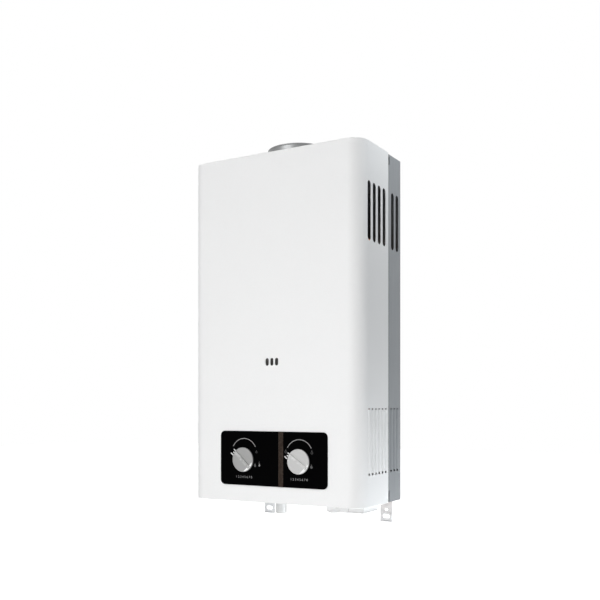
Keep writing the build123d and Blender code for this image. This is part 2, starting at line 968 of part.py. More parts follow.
def union(x, y, bottom, top, bore):
    """Threaded stub below a hexagon, with a neck up to its valve or pipe."""
    hex_bottom = plate_bottom - union_hex_height
    thread = round_z(x, y, bottom, hex_bottom, union_thread_radius)
    thread = chamfer(thread.edges().group_by(Axis.Z)[0], union_chamfer)
    body = thread + hex_z(x, y, hex_bottom, plate_bottom, union_hex)
    body += round_z(x, y, plate_bottom, top, union_neck_radius)
    return body - round_z(x, y, bottom - cut_past, top + cut_past, bore)


def make_gas_inlet_union():
    """Gas inlet stub under the gas valve."""
    top = valve_bottom - valve_boss_height
    return union(-knob_x, -inlet_y, gas_union_bottom, top, union_bore_radius)


def make_cold_inlet_union():
    """Cold water inlet stub under the water valve."""
    top = valve_bottom - valve_boss_height
    return union(knob_x, -inlet_y, water_union_bottom, top, union_bore_radius)


def make_gas_cock_plug():
    """Turning plug with its cross port."""
    back = -valve_front + plug_length - plug_end_gap
    plug = round_y(-knob_x, -valve_front, back, valve_middle, plug_radius)
    low = valve_middle - 2 * plug_radius
    high = valve_middle + 2 * plug_radius
    return plug - round_z(-knob_x, -riser_y, low, high, plug_port_radius)


def make_gas_riser():
    """Pipe from the gas valve's top to the manifold."""
    bottom = valve_top + valve_boss_height
    middle_y = -manifold_front + manifold_size / 2
    points = [
        (-knob_x, -riser_y, bottom),
        (-knob_x, -riser_y, riser_level),
        (-knob_x, middle_y, riser_level),
        (-knob_x, middle_y, bar_throat_height - manifold_size / 2),
    ]
    return pipe(points, riser_bend, riser_radius, riser_wall)


def bar_places():
    """X of each burner bar."""
    return [bar_pitch * (number - (bar_count - 1) / 2) for number in range(bar_count)]


def make_gas_manifold():
    """Square tube in front of the burner, with an ear at each end."""
    low = bar_throat_height - manifold_size / 2
    high = bar_throat_height + manifold_size / 2
    half = manifold_half_length
    tube = block(-half, half, -manifold_front, manifold_back_y, low, high)
    tube -= block(
        -half + manifold_wall,
        half - manifold_wall,
        -manifold_front + manifold_wall,
        manifold_back_y - manifold_wall,
        low + manifold_wall,
        high - manifold_wall,
    )
    for side in (-1, 1):
        inner = side * (half - manifold_ear)
        tube += block(inner, side * half, manifold_back_y, burner_front_y, low, high)
    tube -= round_z(
        -knob_x,
        -manifold_front + manifold_size / 2,
        low - cut_past,
        low + 2 * manifold_wall,
        manifold_inlet_radius,
    )
    for x in bar_places():
        wall_cut = manifold_back_y - 2 * manifold_wall
        tube -= round_y(x, wall_cut, manifold_back_y + cut_past, bar_throat_height, injector_bore)
    return tube


def make_injectors():
    """A brass jet for each burner bar."""
    jets = []
    for x in bar_places():
        base = manifold_back_y + injector_base
        tip = manifold_back_y + injector_length
        jet = round_y(x, manifold_back_y, base, bar_throat_height, injector_radius)
        jet += round_y(x, manifold_back_y, tip, bar_throat_height, injector_tip_radius)
        jet -= round_y(x, manifold_back_y - cut_past, burner_front_y, bar_throat_height, injector_bore)
        jets.append(jet)
    return jets


def make_burner_frame():
    """Four-sided sheet frame that holds the burner bars."""
    frame = block(
        -burner_half_width, burner_half_width, burner_front_y, burner_back_y, burner_bottom, burner_top
    )
    frame -= block(
        -burner_half_width + burner_sheet,
        burner_half_width - burner_sheet,
        burner_front_y + burner_sheet,
        burner_back_y - burner_sheet,
        burner_bottom - cut_past,
        burner_top + cut_past,
    )
    for x in bar_places():
        wall_cut = burner_front_y + 2 * burner_sheet
        frame -= round_y(x, burner_front_y - cut_past, wall_cut, bar_throat_height, jet_hole_radius)
    return frame


def make_burner_bars():
    """A row of folded steel bars, each with a throat, a gallery and a row of ports."""
    front = burner_front_y + burner_sheet
    back = burner_back_y - burner_sheet
    head_low = bar_top - bar_head_height
    foot_high = bar_bottom + bar_foot_height
    half_side = [
        (bar_foot_width / 2, bar_bottom),
        (bar_foot_width / 2, foot_high),
        (bar_web_width / 2, foot_high + bar_taper),
        (bar_web_width / 2, head_low - bar_taper),
        (bar_head_width / 2, head_low),
        (bar_head_width / 2, bar_top),
    ]
    outline = half_side + [(-x, z) for x, z in reversed(half_side)]
    face = Plane(origin=(0, front, 0), x_dir=(1, 0, 0), z_dir=(0, 1, 0))
    flat = [(x, -z) for x, z in outline]
    bar = extrude(face * make_face(Polyline(*flat, close=True)), back - front)
    bar -= round_y(0, front - cut_past, front + bar_throat_length, bar_throat_height, bar_throat_radius)
    bar -= block(
        -bar_gallery_width / 2,
        bar_gallery_width / 2,
        front + bar_end_wall,
        back - bar_end_wall,
        bar_throat_height,
        bar_top - bar_port_depth,
    )
    spread = (back - front - 2 * bar_end_wall) / bar_port_count
    for number in range(bar_port_count):
        y = front + bar_end_wall + spread * (number + 1 / 2)
        bar -= block(
            -bar_port_length / 2,
            bar_port_length / 2,
            y - bar_port_width / 2,
            y + bar_port_width / 2,
            bar_top - bar_port_depth,
            bar_top + cut_past,
        )
    return [Pos(x, 0, 0) * bar for x in bar_places()]


def tube_row_y(number):
    """Distance of a water tube in front of the wall."""
    return tube_first - tube_pitch * number


def make_combustion_chamber():
    """Four copper walls above the burner, pierced for tubes, window and electrodes."""
    half = chamber_half_width
    shell = block(-half, half, chamber_front_y, chamber_back_y, burner_top, chamber_top)
    shell += block(
        -half,
        half,
        chamber_front_y - chamber_flange,
        chamber_back_y + chamber_flange,
        burner_top,
        burner_top + chamber_sheet,
    )
    shell -= block(
        -half + chamber_sheet,
        half - chamber_sheet,
        chamber_front_y + chamber_sheet,
        chamber_back_y - chamber_sheet,
        burner_top - cut_past,
        chamber_top + cut_past,
    )
    for number in range(tube_count):
        shell -= round_x(
            -half - cut_past,
            half + cut_past,
            -tube_row_y(number),
            tube_height,
            water_tube_radius + tube_hole_clearance,
        )
    front_cut = chamber_front_y + 2 * chamber_sheet
    shell -= slot_y(
        0, chamber_front_y - cut_past, front_cut, view_hole_centre, view_hole_width, view_hole_height
    )
    for x in electrode_places():
        shell -= round_y(
            x, chamber_front_y - cut_past, front_cut, electrode_height, insulator_radius + insulator_gap
        )
    return shell


def make_fin_block():
    """Thin fins brazed on straight water tubes."""
    half = chamber_half_width + tube_reach
    tubes = [
        round_x(-half, half, -tube_row_y(number), tube_height, water_tube_radius)
        for number in range(tube_count)
    ]
    core = join(tubes)
    inner_front = chamber_front_y + chamber_sheet
    inner_back = chamber_back_y - chamber_sheet
    for number in range(fin_count):
        x = fin_pitch * (number - (fin_count - 1) / 2)
        core += block(
            x - fin_thickness / 2,
            x + fin_thickness / 2,
            inner_front,
            inner_back,
            fin_bottom,
            fin_bottom + fin_height,
        )
    for number in range(tube_count):
        bore = water_tube_radius - water_tube_wall
        core -= round_x(-half - cut_past, half + cut_past, -tube_row_y(number), tube_height, bore)
    return core


def make_return_bends():
    """U bends that join the tubes in one winding passage."""
    bends = []
    for number in range(tube_count - 1):
        side = 1 if number % 2 == 0 else -1
        x = side * (chamber_half_width + tube_reach)
        first = -tube_row_y(number)
        second = -tube_row_y(number + 1)
        middle = (x + side * tube_pitch / 2, (first + second) / 2, tube_height)
        route = ThreePointArc((x, first, tube_height), middle, (x, second, tube_height))
        start = Plane(origin=route @ 0, z_dir=route % 0)
        ring = Circle(water_tube_radius) - Circle(water_tube_radius - water_tube_wall)
        bends.append(sweep(start * ring, path=route))
    return bends


def make_coil_pipe():
    """Cold pipe from the water valve, once round the chamber and up to the first tube."""
    side = chamber_half_width + water_tube_radius + coil_side_gap
    front = chamber_front_y - water_tube_radius - coil_face_gap
    back = chamber_back_y + water_tube_radius + coil_face_gap
    first_y = -tube_row_y(0)
    tube_end = chamber_half_width + tube_reach
    drop = tube_end + coil_end_offset
    points = [
        (water_body_right, -water_outlet_y, valve_middle),
        (side, -water_outlet_y, valve_middle),
        (side, -water_outlet_y, coil_start),
    ]
    corners = [(side, front), (-side, front), (-side, back), (side, back)]
    for number in range(coil_corner_count):
        x, y = corners[number % len(corners)]
        points.append((x, y, coil_start + coil_rise * (number + 1)))
    leave = coil_start + coil_rise * coil_corner_count + coil_end_offset
    points += [
        (-drop, first_y, leave),
        (-drop, first_y, tube_height),
        (-tube_end, first_y, tube_height),
    ]
    return pipe(points, coil_bend, water_tube_radius, water_tube_wall)


def make_hot_pipe():
    """Pipe from the last tube down to the hot outlet, with its union brazed on."""
    y = -tube_row_y(tube_count - 1)
    start = chamber_half_width + tube_reach
    neck_top = plate_top + hot_neck_height
    points = [(start, y, tube_height), (hot_pipe_x, y, tube_height), (hot_pipe_x, y, neck_top)]
    down = pipe(points, hot_pipe_bend, water_tube_radius, water_tube_wall)
    bore = water_tube_radius - water_tube_wall
    return down + union(hot_pipe_x, y, hot_union_bottom, neck_top, bore)


def make_draught_hood():
    """Sheet hood above the fins, open in front and behind, narrowing to the neck."""
    half = chamber_half_width + hood_overhang / 2
    front = chamber_front_y - hood_overhang / 2
    back = chamber_back_y + hood_overhang / 2
    middle = (front + back) / 2
    deep = back - front

    def solid(inset, low, high):
        """The hood's outline, drawn in by an inset, between two heights."""
        skirt = block(
            -half + inset, half - inset, front + inset, back - inset, low, hood_skirt_top
        )
        base = Pos(0, middle, hood_skirt_top) * Rectangle(2 * (half - inset), deep - 2 * inset)
        neck = Pos(0, flue_y, hood_slope_top) * Circle(hood_neck_radius - inset)
        slope = loft([base, neck])
        return skirt + slope + round_z(0, flue_y, hood_slope_top, high, hood_neck_radius - inset)

    hood = solid(0, hood_bottom, hood_top)
    hood -= solid(hood_sheet, hood_bottom + hood_sheet, hood_top + cut_past)
    hood -= block(
        -chamber_half_width + hood_sheet,
        chamber_half_width - hood_sheet,
        chamber_front_y + hood_sheet,
        chamber_back_y - hood_sheet,
        hood_bottom - cut_past,
        hood_bottom + 2 * hood_sheet,
    )
    low = hood_bottom + hood_window_raise
    return hood - block(
        -hood_window_width / 2,
        hood_window_width / 2,
        front - cut_past,
        back + cut_past,
        low,
        low + hood_window_height,
    )


def make_flue_collar():
    """Round spigot above the case, with a flange on the cover and a wider bell over the hood's neck."""
    top = cover_height + flue_rim
    bottom = cover_height - flue_reach_down
    flange_radius = flue_radius + flue_flange_width
    ring = round_z(0, flue_y, bottom, cover_height, flue_bell_radius)
    ring += round_z(0, flue_y, cover_height, cover_height + flue_sheet, flange_radius)
    ring += round_z(0, flue_y, cover_height, top, flue_radius)
    ring -= round_z(0, flue_y, bottom - cut_past, cover_height, flue_bell_radius - flue_sheet)
    return ring - round_z(0, flue_y, cover_height - cut_past, top + cut_past, flue_radius - flue_sheet)


def make_solenoid_coil():
    """Coil of the safety valve, closed at its left end."""
    left = -gas_body_left - coil_length
    coil = round_x(left, -gas_body_left, -solenoid_y, valve_middle, coil_radius)
    bore = plunger_radius + plunger_clearance
    inner = left + coil_end_wall
    return coil - round_x(inner, -gas_body_left + cut_past, -solenoid_y, valve_middle, bore)


def make_solenoid_plunger():
    """Sliding core with the safety disc at its right end."""
    disc_right = -gas_body_left + solenoid_cavity_depth - seat_gap
    disc_left = disc_right - plunger_disc_thickness
    disc = round_x(disc_left, disc_right, -solenoid_y, valve_middle, plunger_disc_radius)
    tail = disc_left - solenoid_reach
    return disc + round_x(tail, disc_left, -solenoid_y, valve_middle, plunger_radius)


def make_push_rod():
    """Rod that carries the diaphragm's movement to the gas valve."""
    left = -gas_body_right - seat_gap - rod_disc_thickness
    right = diaphragm_x - seat_gap - diaphragm_plate_thickness
    rod = round_x(left, right, -rod_y, valve_middle, rod_radius)
    rod += round_x(left, left + rod_disc_thickness, -rod_y, valve_middle, rod_disc_radius)
    return rod + round_x(
        rod_collar_x, rod_collar_x + rod_collar_thickness, -rod_y, valve_middle, rod_collar_radius
    )


def make_diaphragm_plate():
    """Round plate between the rod and the diaphragm."""
    right = diaphragm_x - seat_gap
    return round_x(right - diaphragm_plate_thickness, right, -rod_y, valve_middle, diaphragm_plate_radius)


def unit_bolt_places():
    """Y and Z of the bolts around the diaphragm unit."""
    places = []
    for number in range(unit_bolt_count):
        angle = math.radians(full_turn * (number + 1 / 2) / unit_bolt_count)
        y = -rod_y + unit_bolt_circle * math.cos(angle)
        places.append((y, valve_middle + unit_bolt_circle * math.sin(angle)))
    return places


def drill_unit(piece):
    """Bolt holes through the diaphragm unit."""
    for y, z in unit_bolt_places():
        hole = unit_bolt_radius + screw_clearance
        piece -= round_x(unit_cover_x - cut_past, unit_cover_x + unit_bolt_length, y, z, hole)
    return piece


def make_diaphragm_cover():
    """Dished cover on the dry side of the diaphragm."""
    cover = round_x(unit_cover_x, diaphragm_x, -rod_y, valve_middle, unit_radius)
    cover -= round_x(
        diaphragm_x - unit_recess_depth, diaphragm_x + cut_past, -rod_y, valve_middle, unit_recess_radius
    )
    cover -= round_x(0, diaphragm_x, -rod_y, valve_middle, rod_radius + rod_clearance)
    return drill_unit(cover)


def make_diaphragm():
    """Rubber disc clamped between cover and body."""
    right = diaphragm_x + diaphragm_thickness
    return drill_unit(round_x(diaphragm_x, right, -rod_y, valve_middle, diaphragm_radius))


def make_water_valve_body():
    """Brass body with the wet half of the diaphragm unit on its left."""
    left = diaphragm_x + diaphragm_thickness
    body = valve_block(left + unit_flange, water_body_right)
    body += round_x(left, left + unit_flange, -rod_y, valve_middle, unit_radius)
    body += round_z(knob_x, -inlet_y, valve_bottom - valve_boss_height, valve_bottom, valve_boss_radius)
    body -= round_x(left - cut_past, left + unit_chamber_depth, -rod_y, valve_middle, unit_recess_radius)
    body -= round_y(
        knob_x,
        -valve_front - cut_past,
        -valve_front + regulator_length,
        valve_middle,
        regulator_radius + spindle_clearance,
    )
    body -= round_z(
        knob_x, -inlet_y, valve_bottom - 2 * valve_boss_height, valve_middle, union_bore_radius
    )
    outlet = water_tube_radius - water_tube_wall
    body -= round_x(knob_x, water_body_right + cut_past, -water_outlet_y, valve_middle, outlet)
    body -= round_x(left + unit_chamber_depth, knob_x, -inlet_y, valve_middle, water_passage_radius)
    body -= round_y(knob_x, -valve_front + regulator_length, -inlet_y, valve_middle, water_passage_radius)
    body -= round_z(
        drain_x,
        -drain_y,
        valve_bottom - cut_past,
        valve_bottom + drain_depth,
        drain_radius + spindle_clearance,
    )
    return drill_unit(body)


def make_unit_bolts():
    """Bolts that clamp the diaphragm unit."""
    bolts = []
    for y, z in unit_bolt_places():
        head = round_x(unit_cover_x - unit_bolt_head_height, unit_cover_x, y, z, unit_bolt_head)
        end = unit_cover_x + unit_bolt_length - seat_gap
        bolts.append(head + round_x(unit_cover_x, end, y, z, unit_bolt_radius))
    return bolts


def make_water_regulator():
    """Turning stem that sets the water flow."""
    back = -valve_front + regulator_length - plug_end_gap
    return round_y(knob_x, -valve_front, back, valve_middle, regulator_radius)


def make_drain_plug():
    """Knurled plug under the water valve."""
    plug = round_z(drain_x, -drain_y, valve_bottom - drain_head_height, valve_bottom, drain_head_radius)
    shank_top = valve_bottom + drain_depth - seat_gap
    return plug + round_z(drain_x, -drain_y, valve_bottom, shank_top, drain_radius)


def make_microswitch():
    """Small switch below the push rod, with ears for its lever."""
    y0 = -rod_y - switch_thickness / 2
    y1 = -rod_y + switch_thickness / 2
    body = block(switch_right - switch_width, switch_right, y0, y1, switch_bottom, switch_top)
    ear_top = lever_pivot_z + lever_knuckle_radius
    for side in (-1, 1):
        outer = side * switch_thickness / 2
        inner = side * (switch_thickness / 2 - lever_ear)
        body += block(
            lever_pivot_x - lever_knuckle_radius,
            lever_pivot_x + lever_knuckle_radius,
            -rod_y + outer,
            -rod_y + inner,
            switch_top,
            ear_top,
        )
    return body + round_y(lever_pivot_x, y0, y1, lever_pivot_z, lever_pivot_radius)


def make_switch_bracket():
    """Bent strip from the gas valve's end plate to the switch."""
    left = -gas_body_right + end_plate_thickness
    y0 = -rod_y - switch_thickness
    y1 = -rod_y + switch_thickness
    floor = block(left, switch_right, y0, y1, switch_bottom - bracket_sheet, switch_bottom)
    return floor + block(left, left + bracket_sheet, y0, y1, switch_bottom - bracket_sheet, lever_pivot_z)


def make_switch_lever():
    """Sprung leaf that follows the push rod's collar."""
    half = switch_thickness / 2 - lever_ear - lever_side_gap
    knuckle = round_y(lever_pivot_x, -rod_y - half, -rod_y + half, lever_pivot_z, lever_knuckle_radius)
    leaf = block(
        lever_pivot_x - lever_thickness / 2,
        lever_pivot_x + lever_thickness / 2,
        -rod_y - half,
        -rod_y + half,
        lever_pivot_z,
        lever_top,
    )
    bore = lever_pivot_radius + rod_clearance
    arm = knuckle + leaf
    return arm - round_y(lever_pivot_x, -rod_y - 2 * half, -rod_y + 2 * half, lever_pivot_z, bore)


def ignition_outline(y0, y1, inset, z_low):
    """The ignition box's outline between two Y planes."""
    return block(
        -ignition_left + inset,
        -ignition_left + ignition_width - inset,
        y0,
        y1,
        z_low + inset,
        z_low + ignition_height - inset,
    )


def make_ignition_box():
    """Plastic box on the bottom plate, open to the front."""
    front = front_y + ignition_front
    back = front + ignition_depth
    box = ignition_outline(front, back, 0, plate_top)
    box = fillet(box.edges().filter_by(Axis.Y), ignition_round)
    return box - ignition_outline(front - cut_past, back - ignition_wall, ignition_wall, plate_top)


def make_ignition_lid():
    """Lid of the ignition box, with a lip inside it."""
    front = front_y + ignition_front
    lid = ignition_outline(front - ignition_lid_thickness, front, 0, plate_top)
    lid = fillet(lid.edges().filter_by(Axis.Y), ignition_round)
    lip_inset = ignition_wall + sheet_gap
    lip = ignition_outline(front, front + ignition_lid_lip, lip_inset, plate_top)
    lip -= ignition_outline(
        front, front + 2 * ignition_lid_lip, lip_inset + ignition_wall, plate_top
    )
    return lid + lip


def electrode_places():
    """X of the spark electrode and the flame electrode."""
    return (electrode_first_x, electrode_first_x + electrode_spacing)


def make_electrode_insulators():
    """Ceramic sleeves through the chamber's front wall, each with a collar outside."""
    sleeves = []
    for x in electrode_places():
        outer_end = chamber_front_y - insulator_outside
        sleeve = round_y(x, outer_end, outer_end + insulator_length, electrode_height, insulator_radius)
        sleeve += round_y(
            x,
            chamber_front_y - insulator_collar_length,
            chamber_front_y,
            electrode_height,
            insulator_collar_radius,
        )
        bore = electrode_radius + rod_clearance
        sleeves.append(
            sleeve - round_y(x, outer_end - cut_past, 0, electrode_height, bore)
        )
    return sleeves


def make_electrodes():
    """Steel rods in the ceramic sleeves, bent down over the burner."""
    rods = []
    for x in electrode_places():
        start = chamber_front_y - insulator_outside - electrode_tail
        reach = chamber_front_y + electrode_reach
        points = [
            (x, start, electrode_height),
            (x, reach, electrode_height),
            (x, reach, electrode_tip),
        ]
        route = FilletPolyline(*points, radius=electrode_bend)
        begin = Plane(origin=route @ 0, z_dir=route % 0)
        rods.append(sweep(begin * Circle(electrode_radius), path=route))
    return rods


def make_thermostats():
    """Overheat thermostat on the chamber and draught thermostat on the hood."""
    hood_front = chamber_front_y - hood_overhang / 2
    hood_middle = hood_bottom + hood_skirt_height / 2
    places = [
        (overheat_x, chamber_front_y, overheat_z),
        (draught_sensor_x, hood_front, hood_middle),
    ]
    parts = []
    for x, y, z in places:
        flange = block(
            x - thermostat_flange / 2,
            x + thermostat_flange / 2,
            y - thermostat_flange_sheet,
            y,
            z - thermostat_flange_height / 2,
            z + thermostat_flange_height / 2,
        )
        parts.append(flange + round_y(x, y - thermostat_height, y, z, thermostat_radius))
    return parts


def make_battery_box():
    """Plastic box through the bottom plate, open below, with hinge ears behind."""
    box = block(
        battery_left, battery_right, battery_front_y, battery_back_y, battery_bottom, battery_top
    )
    rim_top = plate_bottom
    box += block(
        battery_left - battery_rim,
        battery_right + battery_rim,
        battery_front_y - battery_rim,
        battery_back_y + battery_rim,
        rim_top - battery_rim_height,
        rim_top,
    )
    partition = battery_front_y + battery_wall + 2 * (cell_radius + cell_gap)
    box -= block(
        battery_left + battery_wall,
        battery_right - battery_wall,
        battery_front_y + battery_wall,
        partition,
        battery_bottom - cut_past,
        battery_top - battery_wall,
    )
    box -= block(
        battery_left + battery_wall,
        battery_right - battery_wall,
        partition + battery_wall,
        battery_back_y - battery_wall,
        battery_bottom - cut_past,
        battery_top - battery_wall,
    )
    for x in (battery_left, battery_right - door_ear):
        ear_back = hinge_y + door_knuckle_radius
        ear_top = rim_top - battery_rim_height
        ear = block(x, x + door_ear, battery_back_y, ear_back, hinge_z, ear_top)
        ear += round_x(x, x + door_ear, hinge_y, hinge_z, door_knuckle_radius)
        box += ear
    hole = door_pin_radius + door_pin_clearance
    return box - round_x(battery_left - cut_past, battery_right + cut_past, hinge_y, hinge_z, hole)


def make_battery_door():
    """Door below the battery box, with hinge knuckle and front latch."""
    left = battery_left + door_ear + door_gap
    right = battery_right - door_ear - door_gap
    door = block(battery_left, battery_right, battery_front_y, battery_back_y, door_bottom, hinge_z)
    door = fillet(door.edges().filter_by(Axis.Z).group_by(Axis.Y)[0], door_thickness)
    door += block(left, right, battery_back_y, hinge_y, door_bottom, hinge_z)
    door += round_x(left, right, hinge_y, hinge_z, door_knuckle_radius)
    latch_left = (left + right - latch_width) / 2
    latch_right = latch_left + latch_width
    latch_front = battery_front_y - door_gap - latch_thickness
    latch_back = latch_front + latch_thickness
    door += block(latch_left, latch_right, latch_front, battery_front_y, door_bottom, hinge_z)
    door += block(
        latch_left, latch_right, latch_front, latch_back, door_bottom, hinge_z + latch_height
    )
    bore = door_pin_radius + door_pin_clearance
    return door - round_x(left - cut_past, right + cut_past, hinge_y, hinge_z, bore)


def cell_places():
    """Z of each cell and the way its button points."""
    low = hinge_z + cell_gap + cell_radius
    return [(low, 1), (low + 2 * cell_radius + cell_gap, -1)]


def make_battery_cells():
    """Two round cells lying one above the other."""
    y = battery_front_y + battery_wall + cell_radius + cell_gap
    middle = (battery_left + battery_right) / 2
    cells = []
    for z, turned in cell_places():
        tail = middle - turned * (cell_length + cell_button_height) / 2
        end = tail + turned * cell_length
        cell = round_x(tail, end, y, z, cell_radius)
        cell = chamfer(cell.edges(), cell_edge_bevel)
        cells.append(cell + round_x(end, end + turned * cell_button_height, y, z, cell_button_radius))
    return cells


def make_battery_contacts():
    """Flat contacts on the end walls of the cell space."""
    y = battery_front_y + battery_wall + cell_radius + cell_gap
    plates = []
    for z, _ in cell_places():
        for x, side in ((battery_left + battery_wall, 1), (battery_right - battery_wall, -1)):
            plates.append(
                block(
                    x,
                    x + side * contact_thickness,
                    y - contact_size / 2,
                    y + contact_size / 2,
                    z - contact_size / 2,
                    z + contact_size / 2,
                )
            )
    return plates


def make_door_pin():
    """Steel pin of the battery door."""
    return round_x(battery_left, battery_right, hinge_y, hinge_z, door_pin_radius)


def support_rail(low, reach_y):
    """Channel from the back wall to a hot part."""
    half = rail_half_length
    rail = block(-half, half, reach_y, wall_inner_y, low, low + rail_height)
    return rail - block(
        -half - cut_past,
        half + cut_past,
        reach_y + rail_sheet,
        wall_inner_y - rail_sheet,
        low + rail_sheet,
        low + rail_height - rail_sheet,
    )


def make_support_rails():
    """Two channels that carry the burner and the chamber."""
    return [
        support_rail(burner_rail_bottom, burner_back_y),
        support_rail(chamber_rail_bottom, chamber_back_y),
    ]


pieces = {
    "front_cover": make_front_cover(),
    "rear_case": make_rear_case(),
    "bottom_plate": make_bottom_plate(),
    "hanger_plate": make_hanger_plate(),
    "wall_tab_left": make_wall_tab(tab_left),
    "wall_tab_right": make_wall_tab(tab_right),
    "cover_screws": make_cover_screws(),
    "case_screws": make_case_screws(),
    "window_mica": make_window_mica(),
    "window_frame": make_window_frame(),
    "control_panel": make_control_panel(),
    "divider_strip": make_divider_strip(),
    "gas_knob": knob_body(-knob_x),
    "gas_knob_cap": knob_cap(-knob_x, gas_grip_angle),
    "gas_spindle": make_spindle(-knob_x),
    "gas_cock_plug": make_gas_cock_plug(),
    "water_knob": knob_body(knob_x),
    "water_knob_cap": knob_cap(knob_x, water_grip_angle),
    "water_spindle": make_spindle(knob_x),
    "water_regulator": make_water_regulator(),
    "gland_nuts": make_gland_nuts(),
    "gas_valve_body": make_gas_valve_body(),
    "gas_end_plate": make_gas_end_plate(),
    "gas_inlet_union": make_gas_inlet_union(),
    "gas_riser": make_gas_riser(),
    "gas_manifold": make_gas_manifold(),
    "injectors": make_injectors(),
    "burner_frame": make_burner_frame(),
    "burner_bars": make_burner_bars(),
    "combustion_chamber": make_combustion_chamber(),
    "fin_block": make_fin_block(),
    "return_bends": make_return_bends(),
    "coil_pipe": make_coil_pipe(),
    "hot_pipe": make_hot_pipe(),
    "draught_hood": make_draught_hood(),
    "flue_collar": make_flue_collar(),
    "solenoid_coil": make_solenoid_coil(),
    "solenoid_plunger": make_solenoid_plunger(),
    "push_rod": make_push_rod(),
    "diaphragm_plate": make_diaphragm_plate(),
    "diaphragm_cover": make_diaphragm_cover(),
    "diaphragm": make_diaphragm(),
    "water_valve_body": make_water_valve_body(),
    "cold_inlet_union": make_cold_inlet_union(),
    "unit_bolts": make_unit_bolts(),
    "drain_plug": make_drain_plug(),
    "microswitch": make_microswitch(),
    "switch_bracket": make_switch_bracket(),
    "switch_lever": make_switch_lever(),
    "ignition_box": make_ignition_box(),
    "ignition_lid": make_ignition_lid(),
    "electrode_insulators": make_electrode_insulators(),
    "electrodes": make_electrodes(),
    "thermostats": make_thermostats(),
    "battery_box": make_battery_box(),
    "battery_door": make_battery_door(),
    "battery_cells": make_battery_cells(),
    "battery_contacts": make_battery_contacts(),
    "door_pin": make_door_pin(),
    "support_rails": make_support_rails(),
}

# The origin is the middle of the back wall.
os.makedirs("parts", exist_ok=True)
to_origin = Pos(0, 0, -cover_height / 2)
for name, piece in pieces.items():
    if isinstance(piece, list):
        piece = Compound(children=[to_origin * solid for solid in piece])
    else:
        piece = to_origin * piece
    export_step(piece, f"parts/{name}.step")
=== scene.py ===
import json
import math

import bmesh
import bpy
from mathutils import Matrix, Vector


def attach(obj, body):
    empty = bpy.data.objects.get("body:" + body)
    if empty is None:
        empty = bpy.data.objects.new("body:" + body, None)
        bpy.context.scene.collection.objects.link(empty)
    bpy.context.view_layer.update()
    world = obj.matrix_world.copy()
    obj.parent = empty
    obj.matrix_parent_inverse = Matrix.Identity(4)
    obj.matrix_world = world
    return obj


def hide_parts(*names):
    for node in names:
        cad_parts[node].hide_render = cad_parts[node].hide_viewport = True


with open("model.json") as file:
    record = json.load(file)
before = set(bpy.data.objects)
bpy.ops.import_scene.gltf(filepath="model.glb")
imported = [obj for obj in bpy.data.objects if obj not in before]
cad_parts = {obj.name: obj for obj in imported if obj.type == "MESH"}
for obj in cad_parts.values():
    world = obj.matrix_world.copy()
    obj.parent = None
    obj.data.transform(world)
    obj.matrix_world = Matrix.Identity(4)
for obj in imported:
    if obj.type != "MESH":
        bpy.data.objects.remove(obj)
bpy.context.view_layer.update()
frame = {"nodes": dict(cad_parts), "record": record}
nodes = frame["nodes"]
print("frame loaded,", len(nodes), "nodes")

# places and sizes are in mm; heights count from the foot of the case, while
# the frame's origin is halfway up the wall face
caseHeight = 590.0
frontY = -161.3
seamY = -57.7
flueY = -70.5
flueHoleRadius = 58.0
knobX, knobHeight, shaftHole = 54.5, 71.7, 8.0
tabX = {"left": -104.3, "right": 137.7}
past = 3  # how far a cutter stands out of what it cuts
hair = 0.01  # keeps a rounding just short of half the width


def spot(x, y, z):
    return Vector((x, y, z - caseHeight / 2)) / 1000


def deselect():
    if bpy.context.mode != "OBJECT":
        bpy.ops.object.mode_set(mode="OBJECT")
    bpy.ops.object.select_all(action="DESELECT")


def selectOnly(*pieces):
    deselect()
    for piece in pieces:
        piece.select_set(True)
    bpy.context.view_layer.objects.active = pieces[0]


def settle(name):
    piece = bpy.context.object
    piece.name = name
    piece.data.name = name
    bpy.ops.object.transform_apply(location=True, rotation=True, scale=True)
    return piece


def placeAt(piece, place, turn=(0, 0, 0)):
    selectOnly(piece)
    piece.rotation_euler = [math.radians(angle) for angle in turn]
    piece.location = spot(*place)
    bpy.ops.object.transform_apply(location=True, rotation=True, scale=True)
    return piece


def addBlock(name, low, high):
    deselect()
    size = [abs(b - a) / 1000 for a, b in zip(low, high)]
    middle = [(a + b) / 2 for a, b in zip(low, high)]
    bpy.ops.mesh.primitive_cube_add(size=1, location=spot(*middle), scale=size)
    return settle(name)


def addRod(name, start, length, radius, along, sides=48):
    deselect()
    turn = {"X": (0, math.pi / 2, 0), "Y": (math.pi / 2, 0, 0), "Z": (0, 0, 0)}[along]
    middle = list(start)
    middle["XYZ".index(along)] += length / 2
    bpy.ops.mesh.primitive_cylinder_add(
        vertices=sides, radius=radius / 1000, depth=abs(length) / 1000,
        location=spot(*middle), rotation=turn,
    )
    return settle(name)


def turned(name, profile, sides=64, closed=False):
    # a round piece about Z through the world origin, from (radius, height) pairs
    deselect()
    radius, height = profile[0]
    fill = "NOTHING" if closed else "NGON"
    bpy.ops.mesh.primitive_circle_add(
        vertices=sides, radius=radius / 1000, fill_type=fill, location=(0, 0, height / 1000)
    )
    piece = settle(name)
    bpy.ops.object.mode_set(mode="EDIT")
    bpy.ops.mesh.select_all(action="SELECT")
    for nextRadius, nextHeight in profile[1:]:
        rise = (nextHeight - height) / 1000
        bpy.ops.mesh.extrude_region_move(TRANSFORM_OT_translate={"value": (0, 0, rise)})
        scale = nextRadius / radius
        bpy.ops.transform.resize(value=(scale, scale, 1))
        radius, height = nextRadius, nextHeight
    bpy.ops.mesh.select_all(action="SELECT")
    bpy.ops.mesh.remove_doubles(threshold=0.000002)
    bpy.ops.mesh.normals_make_consistent(inside=False)
    bpy.ops.object.mode_set(mode="OBJECT")
    return piece


